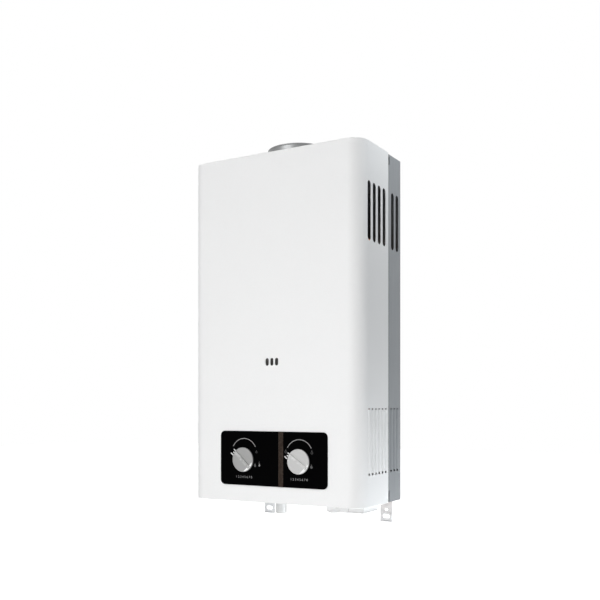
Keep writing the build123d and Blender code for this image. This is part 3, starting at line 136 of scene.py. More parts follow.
def pick(piece, kind, test):
    # selects the faces or edges whose middle and direction pass the test
    selectOnly(piece)
    bpy.ops.object.mode_set(mode="EDIT")
    bpy.ops.mesh.select_mode(type=kind)
    bpy.ops.mesh.select_all(action="DESELECT")
    shape = bmesh.from_edit_mesh(piece.data)
    for part in shape.faces if kind == "FACE" else shape.edges:
        if kind == "FACE":
            middle, way = part.calc_center_median(), part.normal
        else:
            a, b = part.verts
            middle, way = (a.co + b.co) / 2, (b.co - a.co).normalized()
        x, y, z = middle * 1000
        if test(x, y, z + caseHeight / 2, way):
            part.select_set(True)
    bmesh.update_edit_mesh(piece.data)


def alongX(x, y, z, way):
    return abs(way.x) > 0.9


def alongY(x, y, z, way):
    return abs(way.y) > 0.9


def roundEdges(piece, width, segments, test):
    pick(piece, "EDGE", test)
    bpy.ops.mesh.bevel(offset=width / 1000, segments=segments, profile=0.5, affect="EDGES")
    bpy.ops.object.mode_set(mode="OBJECT")
    return piece


def useModifier(piece, kind, **values):
    selectOnly(piece)
    step = piece.modifiers.new(kind.lower(), kind)
    for name, value in values.items():
        setattr(step, name, value)
    bpy.ops.object.modifier_apply(modifier=step.name)


def joinPieces(pieces):
    if len(pieces) > 1:
        selectOnly(*pieces)
        bpy.ops.object.join()
    return pieces[0]


def carve(piece, cutters, operation="DIFFERENCE"):
    many = len(cutters) > 1
    tool = joinPieces(cutters)
    useModifier(piece, "BOOLEAN", object=tool, operation=operation, solver="EXACT", use_self=many)
    bpy.data.objects.remove(tool)
    return piece


def cutAway(piece, place, way):
    # removes what lies beyond a plane, on the side that way points to
    selectOnly(piece)
    bpy.ops.object.mode_set(mode="EDIT")
    bpy.ops.mesh.select_all(action="SELECT")
    bpy.ops.mesh.bisect(plane_co=spot(*place), plane_no=way, use_fill=True, clear_outer=True)
    bpy.ops.object.mode_set(mode="OBJECT")
    return piece


def soften(piece, width, segments=2, angle=40):
    useModifier(
        piece, "BEVEL", width=width / 1000, segments=segments, limit_method="ANGLE",
        angle_limit=math.radians(angle), harden_normals=True, use_clamp_overlap=True,
    )
    return piece


def finishPiece(piece, body, material, replaced=(), angle=32):
    selectOnly(piece)
    bpy.ops.object.shade_smooth_by_angle(angle=math.radians(angle))
    useModifier(piece, "WEIGHTED_NORMAL", keep_sharp=True)
    piece.data.materials.clear()
    piece.data.materials.append(material)
    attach(piece, body)
    if replaced:
        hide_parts(*replaced)
    print("made", piece.name, len(piece.data.polygons), "faces")
    return piece


def newGroup(name, inputs, outputs):
    group = bpy.data.node_groups.new(name, "ShaderNodeTree")
    for label, kind, value in inputs:
        socket = group.interface.new_socket(name=label, in_out="INPUT", socket_type=kind)
        socket.default_value = value
    for label, kind in outputs:
        group.interface.new_socket(name=label, in_out="OUTPUT", socket_type=kind)
    return group, group.nodes.new("NodeGroupInput"), group.nodes.new("NodeGroupOutput")


def makeGrainGroup():
    # noise in object space, stretched along an axis for brushed or drawn metal
    inputs = [("Scale", "NodeSocketFloat", 500.0), ("Stretch", "NodeSocketVector", (1, 1, 1))]
    group, start, end = newGroup("grain", inputs, [("Value", "NodeSocketFloat")])
    place = group.nodes.new("ShaderNodeTexCoord")
    stretch = group.nodes.new("ShaderNodeVectorMath")
    stretch.operation = "MULTIPLY"
    noise = group.nodes.new("ShaderNodeTexNoise")
    noise.inputs["Detail"].default_value = 5
    noise.inputs["Roughness"].default_value = 0.6
    link = group.links.new
    link(place.outputs["Object"], stretch.inputs[0])
    link(start.outputs["Stretch"], stretch.inputs[1])
    link(stretch.outputs[0], noise.inputs["Vector"])
    link(start.outputs["Scale"], noise.inputs["Scale"])
    link(noise.outputs["Fac"], end.inputs["Value"])
    return group


def makeSpangleGroup():
    # crystal cells of zinc, each with its own tone
    inputs = [("Scale", "NodeSocketFloat", 160.0)]
    group, start, end = newGroup("spangle", inputs, [("Value", "NodeSocketFloat")])
    place = group.nodes.new("ShaderNodeTexCoord")
    noise = group.nodes.new("ShaderNodeTexNoise")
    noise.inputs["Scale"].default_value = 90
    shift = group.nodes.new("ShaderNodeVectorMath")
    shift.operation = "MULTIPLY_ADD"
    shift.inputs[1].default_value = (0.006, 0.006, 0.006)
    cells = group.nodes.new("ShaderNodeTexVoronoi")
    tone = group.nodes.new("ShaderNodeRGBToBW")
    link = group.links.new
    link(place.outputs["Object"], noise.inputs["Vector"])
    link(noise.outputs["Color"], shift.inputs[0])
    link(place.outputs["Object"], shift.inputs[2])
    link(shift.outputs[0], cells.inputs["Vector"])
    link(start.outputs["Scale"], cells.inputs["Scale"])
    link(cells.outputs["Color"], tone.inputs["Color"])
    link(tone.outputs["Val"], end.inputs["Value"])
    return group


def makeEdgeGroup():
    # rubbed edges: convex places, broken up by noise
    inputs = [("Amount", "NodeSocketFloat", 0.5)]
    group, start, end = newGroup("edgeWear", inputs, [("Mask", "NodeSocketFloat")])
    shape = group.nodes.new("ShaderNodeNewGeometry")
    level = group.nodes.new("ShaderNodeMapRange")
    level.inputs["From Min"].default_value = 0.52
    level.inputs["From Max"].default_value = 0.62
    place = group.nodes.new("ShaderNodeTexCoord")
    noise = group.nodes.new("ShaderNodeTexNoise")
    noise.inputs["Scale"].default_value = 260
    patches = group.nodes.new("ShaderNodeMapRange")
    patches.inputs["From Min"].default_value = 0.42
    patches.inputs["From Max"].default_value = 0.62
    both = group.nodes.new("ShaderNodeMath")
    both.operation = "MULTIPLY"
    amount = group.nodes.new("ShaderNodeMath")
    amount.operation = "MULTIPLY"
    link = group.links.new
    link(shape.outputs["Pointiness"], level.inputs["Value"])
    link(place.outputs["Object"], noise.inputs["Vector"])
    link(noise.outputs["Fac"], patches.inputs["Value"])
    link(level.outputs["Result"], both.inputs[0])
    link(patches.outputs["Result"], both.inputs[1])
    link(both.outputs[0], amount.inputs[0])
    link(start.outputs["Amount"], amount.inputs[1])
    link(amount.outputs[0], end.inputs["Mask"])
    return group


broadScale = 14  # slow changes of the roughness
grainGroup = makeGrainGroup()
spangleGroup = makeSpangleGroup()
edgeGroup = makeEdgeGroup()


def addGroup(tree, group, **values):
    node = tree.nodes.new("ShaderNodeGroup")
    node.node_tree = group
    for label, value in values.items():
        node.inputs[label].default_value = value
    return node


def mixColours(tree, first, second, share):
    node = tree.nodes.new("ShaderNodeMix")
    node.data_type = "RGBA"
    for socket, value in ((node.inputs[6], first), (node.inputs[7], second)):
        if isinstance(value, tuple):
            socket.default_value = (*value, 1)
        else:
            tree.links.new(value, socket)
    tree.links.new(share, node.inputs[0])
    return node.outputs[2]


def addSeamShadeMask(tree, start, end):
    # painted shade: darkens the joint behind the cover's edge, where the edge shades the case
    place = tree.nodes.new("ShaderNodeTexCoord")
    split = tree.nodes.new("ShaderNodeSeparateXYZ")
    fade = tree.nodes.new("ShaderNodeMapRange")
    fade.inputs["From Min"].default_value = start / 1000
    fade.inputs["From Max"].default_value = end / 1000
    fade.inputs["To Min"].default_value = 0.8
    fade.inputs["To Max"].default_value = 0.0
    tree.links.new(place.outputs["Object"], split.inputs[0])
    tree.links.new(split.outputs["Y"], fade.inputs["Value"])
    return fade.outputs["Result"]


def makeFinish(name, look):
    material = bpy.data.materials.new(name)
    material.use_nodes = True
    tree = material.node_tree
    shader = tree.nodes["Principled BSDF"]
    for label, value in look.get("fixed", {}).items():
        shader.inputs[label].default_value = value
    grain = addGroup(tree, grainGroup, Scale=look["grain"], Stretch=look.get("stretch", (1, 1, 1)))
    broad = addGroup(tree, grainGroup, Scale=broadScale)
    tone = grain.outputs["Value"]
    if "spangle" in look:
        tone = addGroup(tree, spangleGroup, Scale=look["spangle"]).outputs["Value"]
    colour = mixColours(tree, look["dark"], look["light"], tone)
    if "wear" in look:
        mask = addGroup(tree, edgeGroup, Amount=look["wear"]).outputs["Mask"]
        colour = mixColours(tree, colour, look["worn"], mask)
    # painted shade in the joint behind the cover's edge
    if "seam" in look:
        colour = mixColours(tree, colour, look["dust"], addSeamShadeMask(tree, *look["seam"]))
    tree.links.new(colour, shader.inputs["Base Color"])
    rough = tree.nodes.new("ShaderNodeMapRange")
    low, high = look["rough"]
    rough.inputs["From Min"].default_value = 0.3
    rough.inputs["From Max"].default_value = 0.7
    rough.inputs["To Min"].default_value = low
    rough.inputs["To Max"].default_value = high
    tree.links.new(broad.outputs["Value"], rough.inputs["Value"])
    tree.links.new(rough.outputs["Result"], shader.inputs["Roughness"])
    bump = tree.nodes.new("ShaderNodeBump")
    bump.inputs["Strength"].default_value = look["bump"]
    bump.inputs["Distance"].default_value = look["depth"] / 1000
    tree.links.new(grain.outputs["Value"], bump.inputs["Height"])
    tree.links.new(bump.outputs["Normal"], shader.inputs["Normal"])
    return material


# tones, noise scales, and rough from low to high; seam is where the painted shade lies in the
# joint, in mm
looks = {
    "white_enamel": {
        "dark": (0.86, 0.865, 0.865), "light": (0.9, 0.9, 0.9), "grain": 420,
        "rough": (0.42, 0.52), "bump": 0.25, "depth": 0.02, "wear": 0.15,
        "worn": (0.8, 0.8, 0.79), "fixed": {"Specular IOR Level": 0.12},
    },
    "galvanised_steel": {
        "dark": (0.42, 0.44, 0.46), "light": (0.54, 0.56, 0.58), "grain": 700, "spangle": 150,
        "rough": (0.38, 0.52), "bump": 0.2, "depth": 0.02, "wear": 0.5, "worn": (0.68, 0.69, 0.7),
        "fixed": {"Metallic": 0.55},
    },
    "case_steel": {
        "dark": (0.235, 0.25, 0.265), "light": (0.31, 0.326, 0.342), "grain": 200,
        "stretch": (1, 1, 0.05), "rough": (0.36, 0.48), "bump": 0.1, "depth": 0.01, "wear": 0.4,
        # the seam colour is painted shade in the joint behind the cover's edge
        "worn": (0.29, 0.305, 0.32), "seam": (-52.6, -50.2), "dust": (0.12, 0.12, 0.125),
        "fixed": {"Metallic": 0.3, "Specular IOR Level": 0.2},
    },
    # painted shade: a near-black copy of galvanised steel for the draught hood, so what shows
    # through the side slots reads as shaded
    "hood_painted_shade": {
        "dark": (0.07, 0.072, 0.075), "light": (0.12, 0.122, 0.125), "grain": 300, "spangle": 130,
        "rough": (0.45, 0.6), "bump": 0.2, "depth": 0.02, "wear": 0.4, "worn": (0.4, 0.4, 0.41),
        "fixed": {"Metallic": 0.3},
    },
    # partly the tabs' own brighter plating, partly painted light: lighter than the case to make up
    # for the case's shade over the tabs
    "bright_zinc_painted_lit": {
        "dark": (0.72, 0.73, 0.74), "light": (0.82, 0.825, 0.83), "grain": 700, "spangle": 220,
        "rough": (0.36, 0.5), "bump": 0.2, "depth": 0.02, "wear": 0.5, "worn": (0.88, 0.88, 0.88),
        "fixed": {"Metallic": 0.3},
    },
    "collar_steel": {
        "dark": (0.195, 0.2, 0.202), "light": (0.275, 0.279, 0.281), "grain": 240,
        "stretch": (1, 1, 9), "rough": (0.3, 0.4), "bump": 0.25, "depth": 0.02, "wear": 0.4,
        "worn": (0.4, 0.4, 0.4), "fixed": {"Metallic": 0.95},
    },
    "zinc_screw": {
        "dark": (0.5, 0.5, 0.48), "light": (0.66, 0.66, 0.63), "grain": 1500,
        "rough": (0.28, 0.42), "bump": 0.3, "depth": 0.02, "wear": 0.6, "worn": (0.8, 0.8, 0.78),
        "fixed": {"Metallic": 1.0},
    },
    "spindle_steel": {
        "dark": (0.5, 0.5, 0.5), "light": (0.68, 0.68, 0.68), "grain": 1200, "stretch": (6, 1, 1),
        "rough": (0.2, 0.34), "bump": 0.2, "depth": 0.01, "wear": 0.3, "worn": (0.85, 0.85, 0.85),
        "fixed": {"Metallic": 1.0},
    },
    "burner_steel": {
        "dark": (0.26, 0.23, 0.22), "light": (0.44, 0.42, 0.4), "grain": 60, "rough": (0.35, 0.6),
        "bump": 0.2, "depth": 0.03, "wear": 0.4, "worn": (0.3, 0.26, 0.3),
        "fixed": {"Metallic": 0.9},
    },
    "clear_sheet": {
        "dark": (0.06, 0.056, 0.05), "light": (0.13, 0.125, 0.115), "grain": 300,
        "rough": (0.08, 0.2), "bump": 0.15, "depth": 0.02,
        "fixed": {"Transmission Weight": 0.85, "IOR": 1.5, "Specular IOR Level": 0.2},
    },
    "black_gloss": {
        "dark": (0.0006, 0.0006, 0.0007), "light": (0.0012, 0.0012, 0.0014), "grain": 900,
        "rough": (0.1, 0.14), "bump": 0.02, "depth": 0.005, "wear": 0.3,
        "worn": (0.002, 0.002, 0.002), "fixed": {"Specular IOR Level": 0.008},
    },
    "bronze": {
        "dark": (0.0165, 0.0114, 0.0088), "light": (0.0355, 0.0246, 0.0189), "grain": 900,
        "stretch": (8, 1, 0.4), "rough": (0.34, 0.48), "bump": 0.3, "depth": 0.02, "wear": 0.5,
        "worn": (0.16, 0.13, 0.11), "fixed": {"Metallic": 0.35, "Specular IOR Level": 0.1},
    },
    "knob_dark": {
        "dark": (0.02, 0.02, 0.021), "light": (0.035, 0.035, 0.037), "grain": 1400,
        "rough": (0.35, 0.5), "bump": 0.3, "depth": 0.02, "wear": 0.4, "worn": (0.1, 0.1, 0.1),
    },
    "knob_silver": {
        "dark": (0.3, 0.3, 0.297), "light": (0.354, 0.354, 0.351), "grain": 1400,
        "stretch": (1, 1, 6), "rough": (0.3, 0.4), "bump": 0.2, "depth": 0.01, "wear": 0.3,
        "worn": (0.82, 0.82, 0.82), "fixed": {"Metallic": 0.7},
    },
    "knob_silver_bright": {
        "dark": (0.47, 0.47, 0.465), "light": (0.53, 0.53, 0.525), "grain": 1400,
        "stretch": (1, 1, 6), "rough": (0.34, 0.44), "bump": 0.2, "depth": 0.01, "wear": 0.3,
        "worn": (0.88, 0.88, 0.88), "fixed": {"Metallic": 0.5},
    },
    # painted highlight: pale metal for the knobs' rim flats, standing in for the rim's glint
    "painted_highlight_metal": {
        "dark": (0.8, 0.8, 0.8), "light": (0.87, 0.87, 0.87), "grain": 1400, "rough": (0.3, 0.4),
        "bump": 0.2, "depth": 0.01, "wear": 0.3, "worn": (0.9, 0.9, 0.9),
        "fixed": {"Metallic": 0.3},
    },
    "brass": {
        "dark": (0.5, 0.36, 0.14), "light": (0.66, 0.5, 0.24), "grain": 500,
        "rough": (0.24, 0.42), "bump": 0.2, "depth": 0.02, "wear": 0.5, "worn": (0.8, 0.66, 0.38),
        "fixed": {"Metallic": 1.0},
    },
    "cast_alloy": {
        "dark": (0.4, 0.4, 0.41), "light": (0.56, 0.56, 0.57), "grain": 620, "rough": (0.5, 0.68),
        "bump": 0.6, "depth": 0.12, "wear": 0.5, "worn": (0.7, 0.7, 0.7),
        "fixed": {"Metallic": 0.85},
    },
    "alloy_pipe": {
        "dark": (0.5, 0.5, 0.52), "light": (0.66, 0.66, 0.68), "grain": 500,
        "stretch": (0.3, 1, 1), "rough": (0.3, 0.46), "bump": 0.2, "depth": 0.02, "wear": 0.4,
        "worn": (0.8, 0.8, 0.8), "fixed": {"Metallic": 0.95},
    },
    # partly the unions' own bright plating, partly painted light: made lighter to make up for the
    # shade under the case
    "plated_union": {
        "dark": (0.72, 0.72, 0.71), "light": (0.82, 0.82, 0.81), "grain": 900,
        "rough": (0.3, 0.44), "bump": 0.2, "depth": 0.02, "wear": 0.5, "worn": (0.9, 0.9, 0.89),
        "fixed": {"Metallic": 0.5},
    },
    "copper": {
        "dark": (0.42, 0.19, 0.1), "light": (0.62, 0.33, 0.2), "grain": 90, "rough": (0.26, 0.46),
        "bump": 0.2, "depth": 0.02, "wear": 0.5, "worn": (0.75, 0.45, 0.3),
        "fixed": {"Metallic": 1.0},
    },
    "copper_tinned": {
        "dark": (0.42, 0.33, 0.27), "light": (0.55, 0.47, 0.4), "grain": 70,
        "rough": (0.34, 0.52), "bump": 0.25, "depth": 0.03, "wear": 0.5,
        "worn": (0.62, 0.4, 0.28), "fixed": {"Metallic": 0.95},
    },
    "coil_plastic": {
        "dark": (0.022, 0.022, 0.024), "light": (0.036, 0.036, 0.04), "grain": 1300,
        "rough": (0.45, 0.6), "bump": 0.5, "depth": 0.04, "wear": 0.4, "worn": (0.1, 0.1, 0.1),
    },
    "rubber": {
        "dark": (0.012, 0.012, 0.012), "light": (0.022, 0.022, 0.022), "grain": 800,
        "rough": (0.65, 0.8), "bump": 0.5, "depth": 0.05, "wear": 0.3, "worn": (0.07, 0.07, 0.07),
    },
    "ceramic": {
        "dark": (0.76, 0.74, 0.69), "light": (0.86, 0.84, 0.8), "grain": 300,
        "rough": (0.16, 0.3), "bump": 0.2, "depth": 0.02, "wear": 0.3, "worn": (0.6, 0.57, 0.52),
    },
    "white_plastic": {
        "dark": (0.8, 0.8, 0.8), "light": (0.87, 0.87, 0.865), "grain": 1100,
        "rough": (0.4, 0.52), "bump": 0.4, "depth": 0.03, "wear": 0.2, "worn": (0.72, 0.72, 0.71),
    },
    "cell_wrap": {
        "dark": (0.025, 0.03, 0.045), "light": (0.045, 0.052, 0.07), "grain": 500,
        "rough": (0.2, 0.34), "bump": 0.2, "depth": 0.02, "wear": 0.4, "worn": (0.3, 0.3, 0.32),
    },
    "bright_ink": {
        "dark": (0.7, 0.7, 0.7), "light": (0.86, 0.86, 0.86), "grain": 1600, "rough": (0.5, 0.65),
        "bump": 0.3, "depth": 0.01,
    },
    "dial_ink": {
        "dark": (0.2, 0.2, 0.2), "light": (0.3, 0.3, 0.3), "grain": 1600, "rough": (0.5, 0.65),
        "bump": 0.3, "depth": 0.01,
    },
    "faded_ink": {
        "dark": (0.05, 0.05, 0.05), "light": (0.09, 0.09, 0.09), "grain": 1600,
        "rough": (0.5, 0.65), "bump": 0.3, "depth": 0.01,
    },
}
finishes = {name: makeFinish(name, look) for name, look in looks.items()}
for part in frame["record"]["subparts"]:
    cadNode = nodes[part["node"]]
    cadNode.data.materials.clear()
    # the draught hood gets the near-black painted shade that darkens the slots
    finish = "hood_painted_shade" if part["node"] == "draught_hood" else part["material_slot"]
    cadNode.data.materials.append(finishes[finish])
print("materials made:", len(finishes))


def makeSlotCutter(x0, x1, y, low, high, width):
    cutter = addBlock("cutter", (x0, y - width / 2, low), (x1, y + width / 2, high))
    return roundEdges(cutter, width / 2 - hair, 10, alongX)


def makeHoleCutter(x, y, height, radius, sides):
    # for a hole through sheet that lies at this height
    return addRod("cutter", (x, y, height - 2), 4, radius, "Z", sides)


# the rows of slots and ribs run from the cover's front back to the wall, so
# slotFirst and ribFirst are counted from frontY
sideDetail = {
    "slotLow": 429.0, "slotHigh": 525.7, "slotWidth": 12.0, "slotFirst": 29.0, "slotPitch": 19.08,
    "ribLow": 51.2, "ribHigh": 159.0, "ribFirst": 28.5, "ribPitch": 12.95, "ribRadius": 5.0,
    "ribAxis": 3.4, "ribWindow": 6.4, "topWindow": 1.6, "bottomWindow": 3.8,
}


def dressSides(shell, faceX, sheet, slotNumbers, ribNumbers):
    # long slots above, and below them raised ribs that are open at both ends
    d = sideDetail
    low, high = d["ribLow"] + d["bottomWindow"], d["ribHigh"] - d["topWindow"]
    out, hollow, long = d["ribRadius"], d["ribRadius"] - sheet, high - low
    ribProfile = [(out, 0), (out, long), (hollow, long), (hollow, 0), (out, 0)]
    windowHalf = d["ribWindow"] / 2
    cutters, ribs = [], []
    for side in (-1, 1):
        left, right = sorted((side * (faceX - sheet - past), side * (faceX + past)))
        for number in slotNumbers:
            y = frontY + d["slotFirst"] + d["slotPitch"] * number
            cutters.append(makeSlotCutter(
                left, right, y, d["slotLow"], d["slotHigh"], d["slotWidth"]
            ))
        for number in ribNumbers:
            y = frontY + d["ribFirst"] + d["ribPitch"] * number
            cutters.append(addBlock(
                "cutter", (left, y - windowHalf, d["ribLow"]), (right, y + windowHalf, d["ribHigh"])
            ))
            rib = turned("rib", ribProfile, 48, True)
            placeAt(rib, (side * (faceX - d["ribAxis"]), y, low))
            ribs.append(cutAway(rib, (side * (faceX - sheet), y, low), (-side, 0, 0)))
    carve(shell, cutters)
    return joinPieces([shell] + ribs)


seamNotch = {"inside": 3, "outside": 2, "front": 2, "back": 8.4}
notchHeights = ((2.5, 20.5), (571.0, 584.5))


def makeNotchCutters(half):
    # small cut-outs beside the cover's edge, for lifting the cover off
    n = seamNotch
    notches = []
    for side in (-1, 1):
        left, right = sorted((side * (half - n["inside"]), side * (half + n["outside"])))
        for low, high in notchHeights:
            notches.append(addBlock(
                "cutter", (left, seamY - n["front"], low), (right, seamY + n["back"], high)
            ))
    return notches


def openShell(shell, sheet, test):
    # takes the open side off and gives the rest the sheet's thickness
    pick(shell, "FACE", test)
    bpy.ops.mesh.delete(type="FACE")
    bpy.ops.object.mode_set(mode="OBJECT")
    useModifier(shell, "SOLIDIFY", thickness=sheet / 1000, offset=-1, use_even_offset=True)


frontCover = {
    "halfWidth": 166.5, "corner": 26.5, "edge": 1.1, "sheet": 0.8, "flange": 14.0,
    "windowPitch": 9.3, "windowHalf": 3.2, "windowLow": 230.7, "windowHigh": 243.6,
    "screwX": 120, "screwY": frontY + 7, "screwHole": 2.25, "slots": range(4), "ribs": range(6),
}


def makeFrontCover():
    c = frontCover
    half, sheet = c["halfWidth"], c["sheet"]
    cover = addBlock("frontCoverShell", (-half, frontY, 0), (half, seamY, caseHeight))
    roundEdges(
        cover, c["corner"], 20, lambda x, y, z, way: abs(way.z) > 0.9 and y < frontY + 1
    )
    roundEdges(
        cover, c["edge"], 4,
        lambda x, y, z, way: abs(way.z) < 0.1 and y < seamY - 0.5
        and (z < 0.5 or z > caseHeight - 0.5),
    )
    openShell(cover, sheet, lambda x, y, z, way: way.y > 0.9)
    foot = addBlock(
        "cutter", (-half + sheet, frontY + sheet, -2), (half - sheet, seamY + 5, 2)
    )
    roundEdges(
        foot, c["corner"] - sheet, 20, lambda x, y, z, way: abs(way.z) > 0.9 and y < frontY + 3
    )
    cutAway(foot, (0, frontY + c["flange"], 0), (0, -1, 0))
    carve(cover, [foot])
    flueHole = makeHoleCutter(0, flueY, caseHeight, flueHoleRadius, 96)
    flueWay = addBlock(
        "cutter", (-flueHoleRadius, flueY, caseHeight - 2),
        (flueHoleRadius, seamY + 5, caseHeight + 2),
    )
    carve(cover, [flueHole, flueWay])
    holes = []
    for x in (-c["windowPitch"], 0, c["windowPitch"]):
        window = addBlock(
            "cutter", (x - c["windowHalf"], frontY - past, c["windowLow"]),
            (x + c["windowHalf"], frontY + past, c["windowHigh"]),
        )
        holes.append(roundEdges(window, c["windowHalf"] - hair, 10, alongY))
    for x in (-knobX, knobX):
        holes.append(addRod("cutter", (x, frontY - past, knobHeight), 2 * past, shaftHole, "Y"))
    for x in (-c["screwX"], c["screwX"]):
        holes.append(makeHoleCutter(x, c["screwY"], 0, c["screwHole"], 24))
    carve(cover, holes)
    cover = dressSides(cover, half, sheet, c["slots"], c["ribs"])
    finishPiece(cover, "heater", finishes["white_enamel"], ["front_cover"])


rearCase = {
    "half": 164.7, "front": -63.7, "top": 589.0, "corner": 3.5, "edge": 1.0, "sheet": 0.8,
    "flange": 14.0, "tabWayHalf": 11.8, "tabWayFront": -2.7, "tabWayBack": -0.8,
    "hangerX": 90, "hangerHeight": 558, "hangerHole": 4.0,
    "screwX": 55, "screwY": -7, "screwHole": 2.25, "slots": (5, 6), "ribs": (7, 8, 9),
}


def makeRearCase():
    c = rearCase
    half, sheet, wide = c["half"], c["sheet"], c["tabWayHalf"]
    case = addBlock("rearCaseTray", (-half, c["front"], 0), (half, 0, c["top"]))
    roundEdges(case, c["corner"], 6, lambda x, y, z, way: abs(way.z) > 0.9 and y > -1)
    roundEdges(
        case, c["edge"], 3,
        lambda x, y, z, way: abs(way.z) < 0.1 and y > c["front"] + 0.5
        and (z < 0.5 or z > c["top"] - 0.5),
    )
    openShell(case, sheet, lambda x, y, z, way: way.y < -0.9)
    foot = addBlock(
        "cutter", (-half + sheet, c["front"] - 5, -2), (half - sheet, -c["flange"], 2)
    )
    flueHole = makeHoleCutter(0, flueY, c["top"], flueHoleRadius, 96)
    tabWays = [
        addBlock("cutter", (x - wide, c["tabWayFront"], -2), (x + wide, c["tabWayBack"], 2))
        for x in tabX.values()
    ]
    hangers = [
        addRod("cutter", (x, -past, c["hangerHeight"]), 2 * past, c["hangerHole"], "Y")
        for x in (-c["hangerX"], c["hangerX"])
    ]
    screws = [
        makeHoleCutter(x, c["screwY"], 0, c["screwHole"], 24)
        for x in (-c["screwX"], c["screwX"])
    ]
    carve(case, [foot])
    carve(case, [flueHole] + tabWays + hangers + screws)
    carve(case, makeNotchCutters(half))
    case = dressSides(case, half, sheet, c["slots"], c["ribs"])
    finishPiece(case, "heater", finishes["case_steel"], ["rear_case"])


flueCollar = {
    "radius": 55.0, "sheet": 0.8, "rim": 612.0, "flange": 64.0, "bell": 56.5, "foot": 566.0,
    "lapHalf": 5, "lapProud": 0.55,
}


def makeFlueCollar():
    c = flueCollar
    out, wall, top = c["radius"], c["sheet"], c["rim"] - caseHeight
    foot = c["foot"] - caseHeight
    # up the outside with its rolled bead, over the rim and down the inside
    profile = [
        (c["bell"], foot), (c["bell"], 0), (c["flange"] - 0.3, 0), (c["flange"], 0.3),
        (c["flange"], 0.6), (c["flange"] - 0.2, 0.8), (out + 1.0, 0.8), (out + 0.25, 1.1),
        (out, 1.8), (out, top - 3.2), (out - 0.5, top - 2.9), (out - 0.5, top - 2.3),
        (out, top - 2.0), (out, top - 0.5), (out - 0.2, top - 0.1), (out - 0.5, top),
        (out - wall, top - 0.3), (out - wall, 0), (c["bell"] - wall, -0.4),
        (c["bell"] - wall, foot), (c["bell"], foot),
    ]
    collar = turned("flueCollarRing", profile, 128, True)
    placeAt(collar, (0, flueY, caseHeight))
    lap = addBlock(
        "seam", (-c["lapHalf"], flueY + out - 0.2, caseHeight + 2),
        (c["lapHalf"], flueY + out + c["lapProud"], c["rim"] - 1),
    )
    soften(lap, 0.3)
    collar = joinPieces([collar, lap])
    finishPiece(collar, "heater", finishes["collar_steel"], ["flue_collar"])


makeFrontCover()
makeRearCase()
makeFlueCollar()

wallTab = {
    "half": 11.5, "back": -0.8, "sheet": 1.6, "low": -40.0, "high": 60.0, "lip": 2.4, "rim": 0.9,
    "slotHalf": 7.2, "slotLow": -33.6, "slotHigh": -27.0, "dish": 3.1, "dishFloor": (0.69, 1, 0.52),
    "holeHalf": 3.1, "holeLow": -20.9, "holeHigh": -17.1,
}


def makeWallTab(name, node, x):
    t = wallTab
    half, back, low = t["half"], t["back"], t["low"]
    front = back - t["sheet"]
    tab = addBlock(name, (x - half, front, low), (x + half, back, t["high"]))
    foot = addBlock(
        "foot", (x - half, front - t["lip"], low), (x + half, back, low + t["sheet"])
    )
    roundEdges(
        foot, 1.2, 5, lambda x, y, z, way: abs(way.z) > 0.9 and y < front - t["lip"] + 0.5
    )

    def longHole(name, reach, y0, y1):
        wide = t["slotHalf"] + reach
        bottom, top = t["slotLow"] - reach, t["slotHigh"] + reach
        hole = addBlock(name, (x - wide, y0, bottom), (x + wide, y1, top))
        return roundEdges(hole, (top - bottom) / 2 - 2 * hair, 10, alongY)

    # a pressed dish with a raised rim leads down to the slot
    face = front - t["rim"]
    rim = longHole("rim", t["dish"] + 0.8, face, front + 0.3)
    roundEdges(rim, 0.6, 3, lambda x, y, z, way: abs(way.y) < 0.3 and y < face + 0.1)
    dish = longHole("cutter", t["dish"], face - 0.1, back - 0.3)
    pick(dish, "FACE", lambda x, y, z, way: way.y > 0.9)
    bpy.ops.transform.resize(value=t["dishFloor"])
    bpy.ops.object.mode_set(mode="OBJECT")
    carve(tab, [foot, rim], "UNION")
    carve(tab, [dish])
    nearY, farY = -8, 5  # the through holes' cutters, before and behind the tab
    hole = addBlock(
        "cutter", (x - t["holeHalf"], nearY, t["holeLow"]), (x + t["holeHalf"], farY, t["holeHigh"])
    )
    roundEdges(hole, (t["holeHigh"] - t["holeLow"]) / 2 - hair, 8, alongY)
    carve(tab, [longHole("cutter", 0, nearY, farY), hole])
    soften(tab, 0.18)
    # the tabs' light zinc is partly painted light
    finishPiece(tab, "heater", finishes["bright_zinc_painted_lit"], [node])


makeWallTab("wallTabLeft", "wall_tab_left", tabX["left"])
makeWallTab("wallTabRight", "wall_tab_right", tabX["right"])

screwProfile = [
    (1.75, 8), (1.75, 0), (3.7, 0), (3.8, -0.25), (3.6, -0.7), (3.0, -1.1), (2.0, -1.28),
    (0.6, -1.3),
]
screwCross = {"long": 1.9, "thin": 0.4, "low": -3, "high": -0.5}


def makeScrews(name, node, half, y):
    # a pair of pan heads with a cross recess, driven upwards
    s = screwCross
    pieces = []
    for x in (-half, half):
        screw = placeAt(turned(name, screwProfile, 32), (x, y, 0))
        pieces.append(carve(screw, [
            addBlock("cutter", (x - wide, y - deep, s["low"]), (x + wide, y + deep, s["high"]))
            for wide, deep in ((s["long"], s["thin"]), (s["thin"], s["long"]))
        ]))
    screws = joinPieces(pieces)
    finishPiece(screws, "heater", finishes["zinc_screw"], [node])


makeScrews("coverScrewPair", "cover_screws", frontCover["screwX"], frontCover["screwY"])
makeScrews("caseScrewPair", "case_screws", rearCase["screwX"], rearCase["screwY"])

pipeUnion = {
    "y": -41.3, "bore": 7.0, "neck": 9.5, "top": 40.0, "chamfer": 9.3, "thread": 10.478,
    "root": 10.2, "pitch": 1.2, "threadTop": -6.6, "hexLow": -5.2, "hexHigh": 0.8,
    "hexHalf": 14,
}


